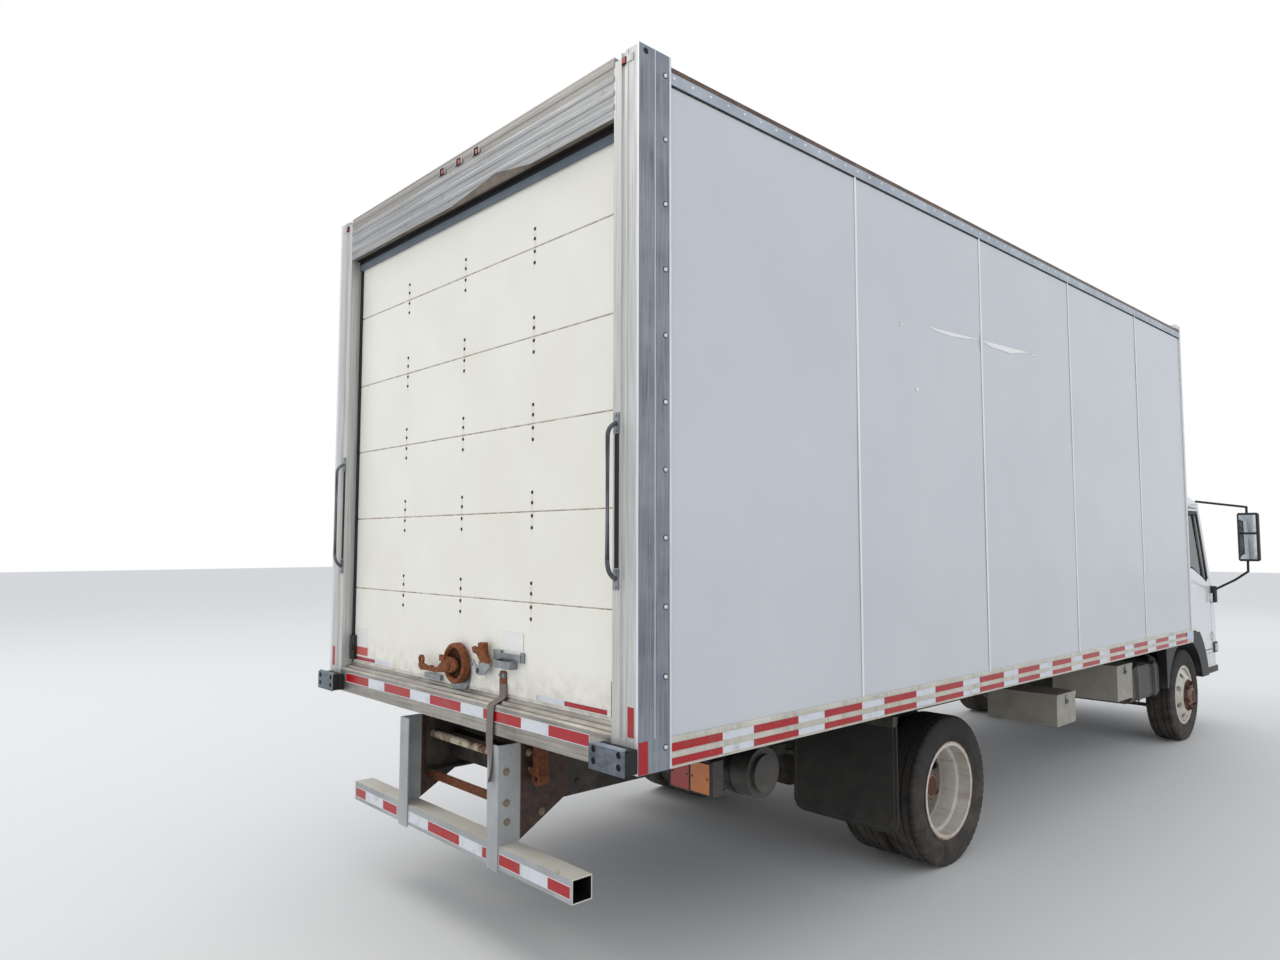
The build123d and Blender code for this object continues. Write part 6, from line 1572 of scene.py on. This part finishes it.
# %% Chassis bolts and spring clamps
FRAME_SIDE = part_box("ladder_frame")[1].y
GUARD_BOLTS = ((0.034, -0.152), (0.037, -0.281), (0.040, -0.360), (0.220, -0.352), (0.150, -0.090))
FRAME_BOLTS = (0.42, 0.62, 0.98, 1.33, 1.62, 2.02, 3.05, 3.42, 3.90, 4.31, 4.75, 5.20, 5.66, 6.12, 6.52)
FRAME_BOLT_Z = (0.690, 0.800)
SPRING_Y, CLAMP_HALF, CLAMP_BEND, CLAMP_FOOT = 0.390, 0.046, 0.012, 0.330
heads, clamps = bmesh.new(), bmesh.new()
for side in BOTH:
    for back, z in GUARD_BOLTS:
        bolt(heads, body_point(back, side * 0.433, z), (0, side, 0), 0.0105, 0.010, 0.0160, 1)
    for back in FRAME_BOLTS:
        for z in FRAME_BOLT_Z:
            bolt(heads, (BODY_REAR + back, side * FRAME_SIDE, z), (0, side, 0), 0.011, 0.010)
    for axle, top in ((FRONT_AXLE.x, 0.560), (REAR_AXLE.x, 0.600)):
        for x in (axle - 0.052, axle + 0.052):
            leg = ((CLAMP_HALF, CLAMP_FOOT), (CLAMP_HALF, top - CLAMP_BEND), (CLAMP_HALF - CLAMP_BEND, top))
            path = [(-y, z) for y, z in leg] + [(y, z) for y, z in leg[::-1]]
            bead(clamps, [(x, side * SPRING_Y + y, z) for y, z in path], 0.0085, closed=False, sides=10)
piece("chassis_bolts", heads, (hub_iron, bolt_tan))
piece("spring_clamps", clamps, hub_iron)
print("chassis bolts and spring clamps made")

# %% [markdown]
# Steel straps hold the tanks, and bands hold the muffler. Each strap follows the
# section of what it holds and lies close round it. The muffler's ends are rolled
# seams.

# %% Tank straps and muffler seams
TANK_CUT, TANK_Z, STRAP_METAL = 0.045, (0.460, 0.760), 0.004
TANK_IN = -(FRAME_SIDE + 0.055)
AIR_Z = 0.742
MUFFLER_Y, MUFFLER_Z, MUFFLER_X = FRAME_SIDE + 0.215, 0.640, REAR_AXLE.x + 1.765
tank_low, tank_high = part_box("fuel_tank")
air_low, air_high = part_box("air_tank")
straps, seams = bmesh.new(), bmesh.new()


def band(inner, outer, wide):
    """The profile of a flat band round a cylinder."""
    return [(0, inner), (0, outer), (wide, outer), (wide, inner)]


def tank_loop(x, grow):
    """Points round the fuel tank's rounded section at one place, grown by a thickness."""
    points = []
    y0, y1, z0, z1 = tank_low.y + TANK_CUT, TANK_IN - TANK_CUT, TANK_Z[0] + TANK_CUT, TANK_Z[1] - TANK_CUT
    for y, z, start in ((y1, z1, 0), (y0, z1, 90), (y0, z0, 180), (y1, z0, 270)):
        for turn in (math.radians(start + 22.5 * i) for i in range(5)):
            points.append((x, y + (TANK_CUT + grow) * math.cos(turn), z + (TANK_CUT + grow) * math.sin(turn)))
    return [straps.verts.new(p) for p in points]


for x in (tank_low.x + 0.120, tank_high.x - 0.160):
    skin(straps, [tank_loop(at, grow) for at, grow in ((x, 0.0), (x, STRAP_METAL), (x + 0.040, STRAP_METAL),
                                                       (x + 0.040, 0.0))], across=True)
    bolt(straps, (x + 0.020, tank_low.y + 0.010, 0.758), (0, 0, 1), 0.009, 0.012)
for y in (-0.560, -0.900):
    turned(straps, ((air_low.x + air_high.x) / 2, y, AIR_Z), (0, -1, 0), band(0.1122, 0.1155, 0.030), 40)
for x in (0.150, 0.900):
    turned(straps, (MUFFLER_X + x, MUFFLER_Y, MUFFLER_Z), (1, 0, 0), band(0.1252, 0.1285, 0.040), 40)
for x in (0.004, 1.088):
    turned(seams, (MUFFLER_X + x, MUFFLER_Y, MUFFLER_Z), (1, 0, 0),
           [(0, 0.124), (0.002, 0.1295), (0.006, 0.1295), (0.008, 0.124)], 48)
piece("tank_and_muffler_straps", straps, black_steel)
piece("muffler_seams", seams, exhaust_steel)
print("straps and seams made")

# %% [markdown]
# ## Equipment boxes, lamps and flaps
# The boxes' lids have hasps and hinges. The tail lamps stand in black frames. The
# mud flaps are moulded with a raised bead near their edge, and their fields are
# bare. A small blank plate is stuck near the front end of each bottom rail.

# %% Boxes, lamps and flaps
BOXES = ((0.156, 0.477, 0.706), (1.309, 1.634, 0.801))   # rear end, front end, top of the lid
HASP = (((-0.018, 0.002, -0.075), (0.018, -0.004, -0.010), 0.002, 0),
        ((-0.009, -0.002, -0.062), (0.009, -0.014, -0.044), 0.003, 0))
HINGE = [(0, 0), (0, 0.006), (0.044, 0.006), (0.044, 0)]
FRAME_BARS, LAMP_SCREWS = (1.0245, 1.1345, 1.2445), (1.040, 1.120, 1.150, 1.230)
RAIL_PLATE = ((6.118, -0.0005, 0.030), (6.282, 0.0006, 0.092))
BOX_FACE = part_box("equipment_boxes")[0].y
LAMP_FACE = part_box("amber_lamps")[0].x
FLAP_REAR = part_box("mud_flaps")[0].x
FLAP_IN, FLAP_OUT, FLAP_LOW, FLAP_HIGH = 0.634, 1.222, 0.372, 0.862
FLAP_CORNER = ((0.0, 0.050), (0.016, 0.018), (0.052, 0.0))   # inwards from the flap's side, up from its foot
hasps, lamp_frames, flap_beads, plates = bmesh.new(), bmesh.new(), bmesh.new(), bmesh.new()
for rear, front, top in BOXES:
    bars(hasps, ((rear + front) / 2, BOX_FACE, top), HASP)
    for x in (rear + 0.05, front - 0.05):
        turned(hasps, (x - 0.022, BOX_FACE + 0.006, top - 0.002), (1, 0, 0), HINGE, 10)
bars(lamp_frames, (LAMP_FACE, 0.0, 0.0),
     [((0.010, y - 0.0045, 0.787), (0.001, y + 0.0045, 0.918)) for y in FRAME_BARS], 0.001, sides=BOTH)
bars(plates, (BODY_REAR, BODY_SIDE, BODY_BASE), [RAIL_PLATE], sides=BOTH)
for side in BOTH:
    for y in LAMP_SCREWS:
        rivet(lamp_frames, (LAMP_FACE, side * y, 0.853), (-1, 0, 0), 0.005, 0.002)
    inner = [(FLAP_IN, FLAP_HIGH)] + [(FLAP_IN + y, FLAP_LOW + z) for y, z in FLAP_CORNER]
    outer = [(FLAP_OUT - y, FLAP_LOW + z) for y, z in FLAP_CORNER[::-1]] + [(FLAP_OUT, FLAP_HIGH)]
    bead(flap_beads, [(FLAP_REAR, side * y, z) for y, z in inner + outer], 0.0028)
    for i in range(5):
        bolt(flap_beads, (FLAP_REAR, side * (0.66 + i * 0.13), 0.902), (-1, 0, 0), 0.008, 0.006, 0.013)
piece("box_hasps", hasps, zinc)
piece("tail_lamp_frames", lamp_frames, black_plastic)
piece("flap_edge_beads", flap_beads, bead_rubber)
piece("blank_rail_plates", plates, blue_film, smooth=False)
print("chassis fittings made")

# %% [markdown]
# ## Pipes and hoses
# Brake hoses run from the frame to the rear axle, two air pipes run along the right
# rail, and a cable drops to each tail lamp. They are thin tubes along smooth paths.

# %% Hoses and cables
PIPE_ALONG = (-2.70, -1.20, 0.30, 1.20)
HOSES = (
    # name, side or sides, radius, points on the left side
    ("air_pipe_upper", None, 0.0055, [(-2.96, -0.52, 0.700)] + [(x, -0.447, 0.735) for x in PIPE_ALONG]),
    ("air_pipe_lower", None, 0.0055, [(-2.96, -0.56, 0.690)] + [(x, -0.447, 0.715) for x in PIPE_ALONG]),
    ("brake_hose_rear", SIDES[::-1], 0.008, [(REAR_AXLE.x + x, y, z) for x, y, z in (
        (0.34, 0.440, 0.700), (0.30, 0.470, 0.560), (0.16, 0.500, 0.450), (0.08, 0.500, 0.430))]),
    ("lamp_cable", SIDES[::-1], 0.0045, [(-3.600, 1.060, 0.860), (-3.560, 1.040, 0.930),
                                         (-3.540, 0.950, 0.960), (-3.530, 0.80, 0.965)]),
)
for name, sides, radius, points in HOSES:
    for side, word in sides or ((1, None),):
        hose = bmesh.new()
        bead(hose, smooth_line([(x, side * y, z) for x, y, z in points], 6), radius, closed=False, sides=10)
        piece(name + "_" + word if word else name, hose, seal_rubber)
print("pipes, hoses and cables run")

# %% [markdown]
# ## Studio
# A pale floor and an even pale surround light the truck softly from all sides. The
# key light stands behind and to the left, as the sun did, so the door is the
# brightest face and the long right wall lies in open shade.

# %% Floor, world and lamps
FLOOR_HALF = 60.0
LIT_POINT = Vector((-1.0, 0, 1.5))
LIGHTS = (
    # name, place, watts, width, tint
    ("key", (-9.0, 9.0, 14.0), 620.0, 7.0, (1.0, 0.97, 0.92)),
    ("fill", (-4.0, -14.0, 10.0), 90.0, 9.0, (0.93, 0.96, 1.0)),
    ("front", (18.0, 3.0, 12.0), 260.0, 8.0, (1.0, 1.0, 1.0)),
)

mesh = bmesh.new()
bmesh.ops.create_grid(mesh, x_segments=2, y_segments=2, size=FLOOR_HALF)
data = bpy.data.meshes.new("studio_floor")
mesh.to_mesh(data)
mesh.free()
floor = bpy.data.objects.new("studio_floor", data)
bpy.context.scene.collection.objects.link(floor)
data.materials.append(finish("pale_studio_floor", 0.9))
give(Base_Color="e2e2e1")

world = bpy.data.worlds.new("studio_world")
bpy.context.scene.world = world
world.use_nodes = True
bench.tree = world.node_tree
sky = bench.tree.nodes["Background"].inputs
seen = most([add("LightPath", out="Is " + ray + " Ray") for ray in ("Camera", "Transmission")])
feed(sky["Strength"], spread(seen, 0.96, 1.0))
feed(sky["Color"], blend(seen, "f1f4f9", "ffffff"))
for name, at, watts, wide, tint in LIGHTS:
    data = bpy.data.lights.new(name, "AREA")
    data.energy, data.size, data.color = watts, wide, tint
    lamp = bpy.data.objects.new(name, data)
    bpy.context.scene.collection.objects.link(lamp)
    lamp.location = at
    lamp.rotation_mode = "QUATERNION"
    lamp.rotation_quaternion = (LIT_POINT - Vector(at)).to_track_quat("-Z", "Y")
bpy.context.scene.view_settings.view_transform = "Standard"
print("floor, sky and", len(LIGHTS), "lamps set")
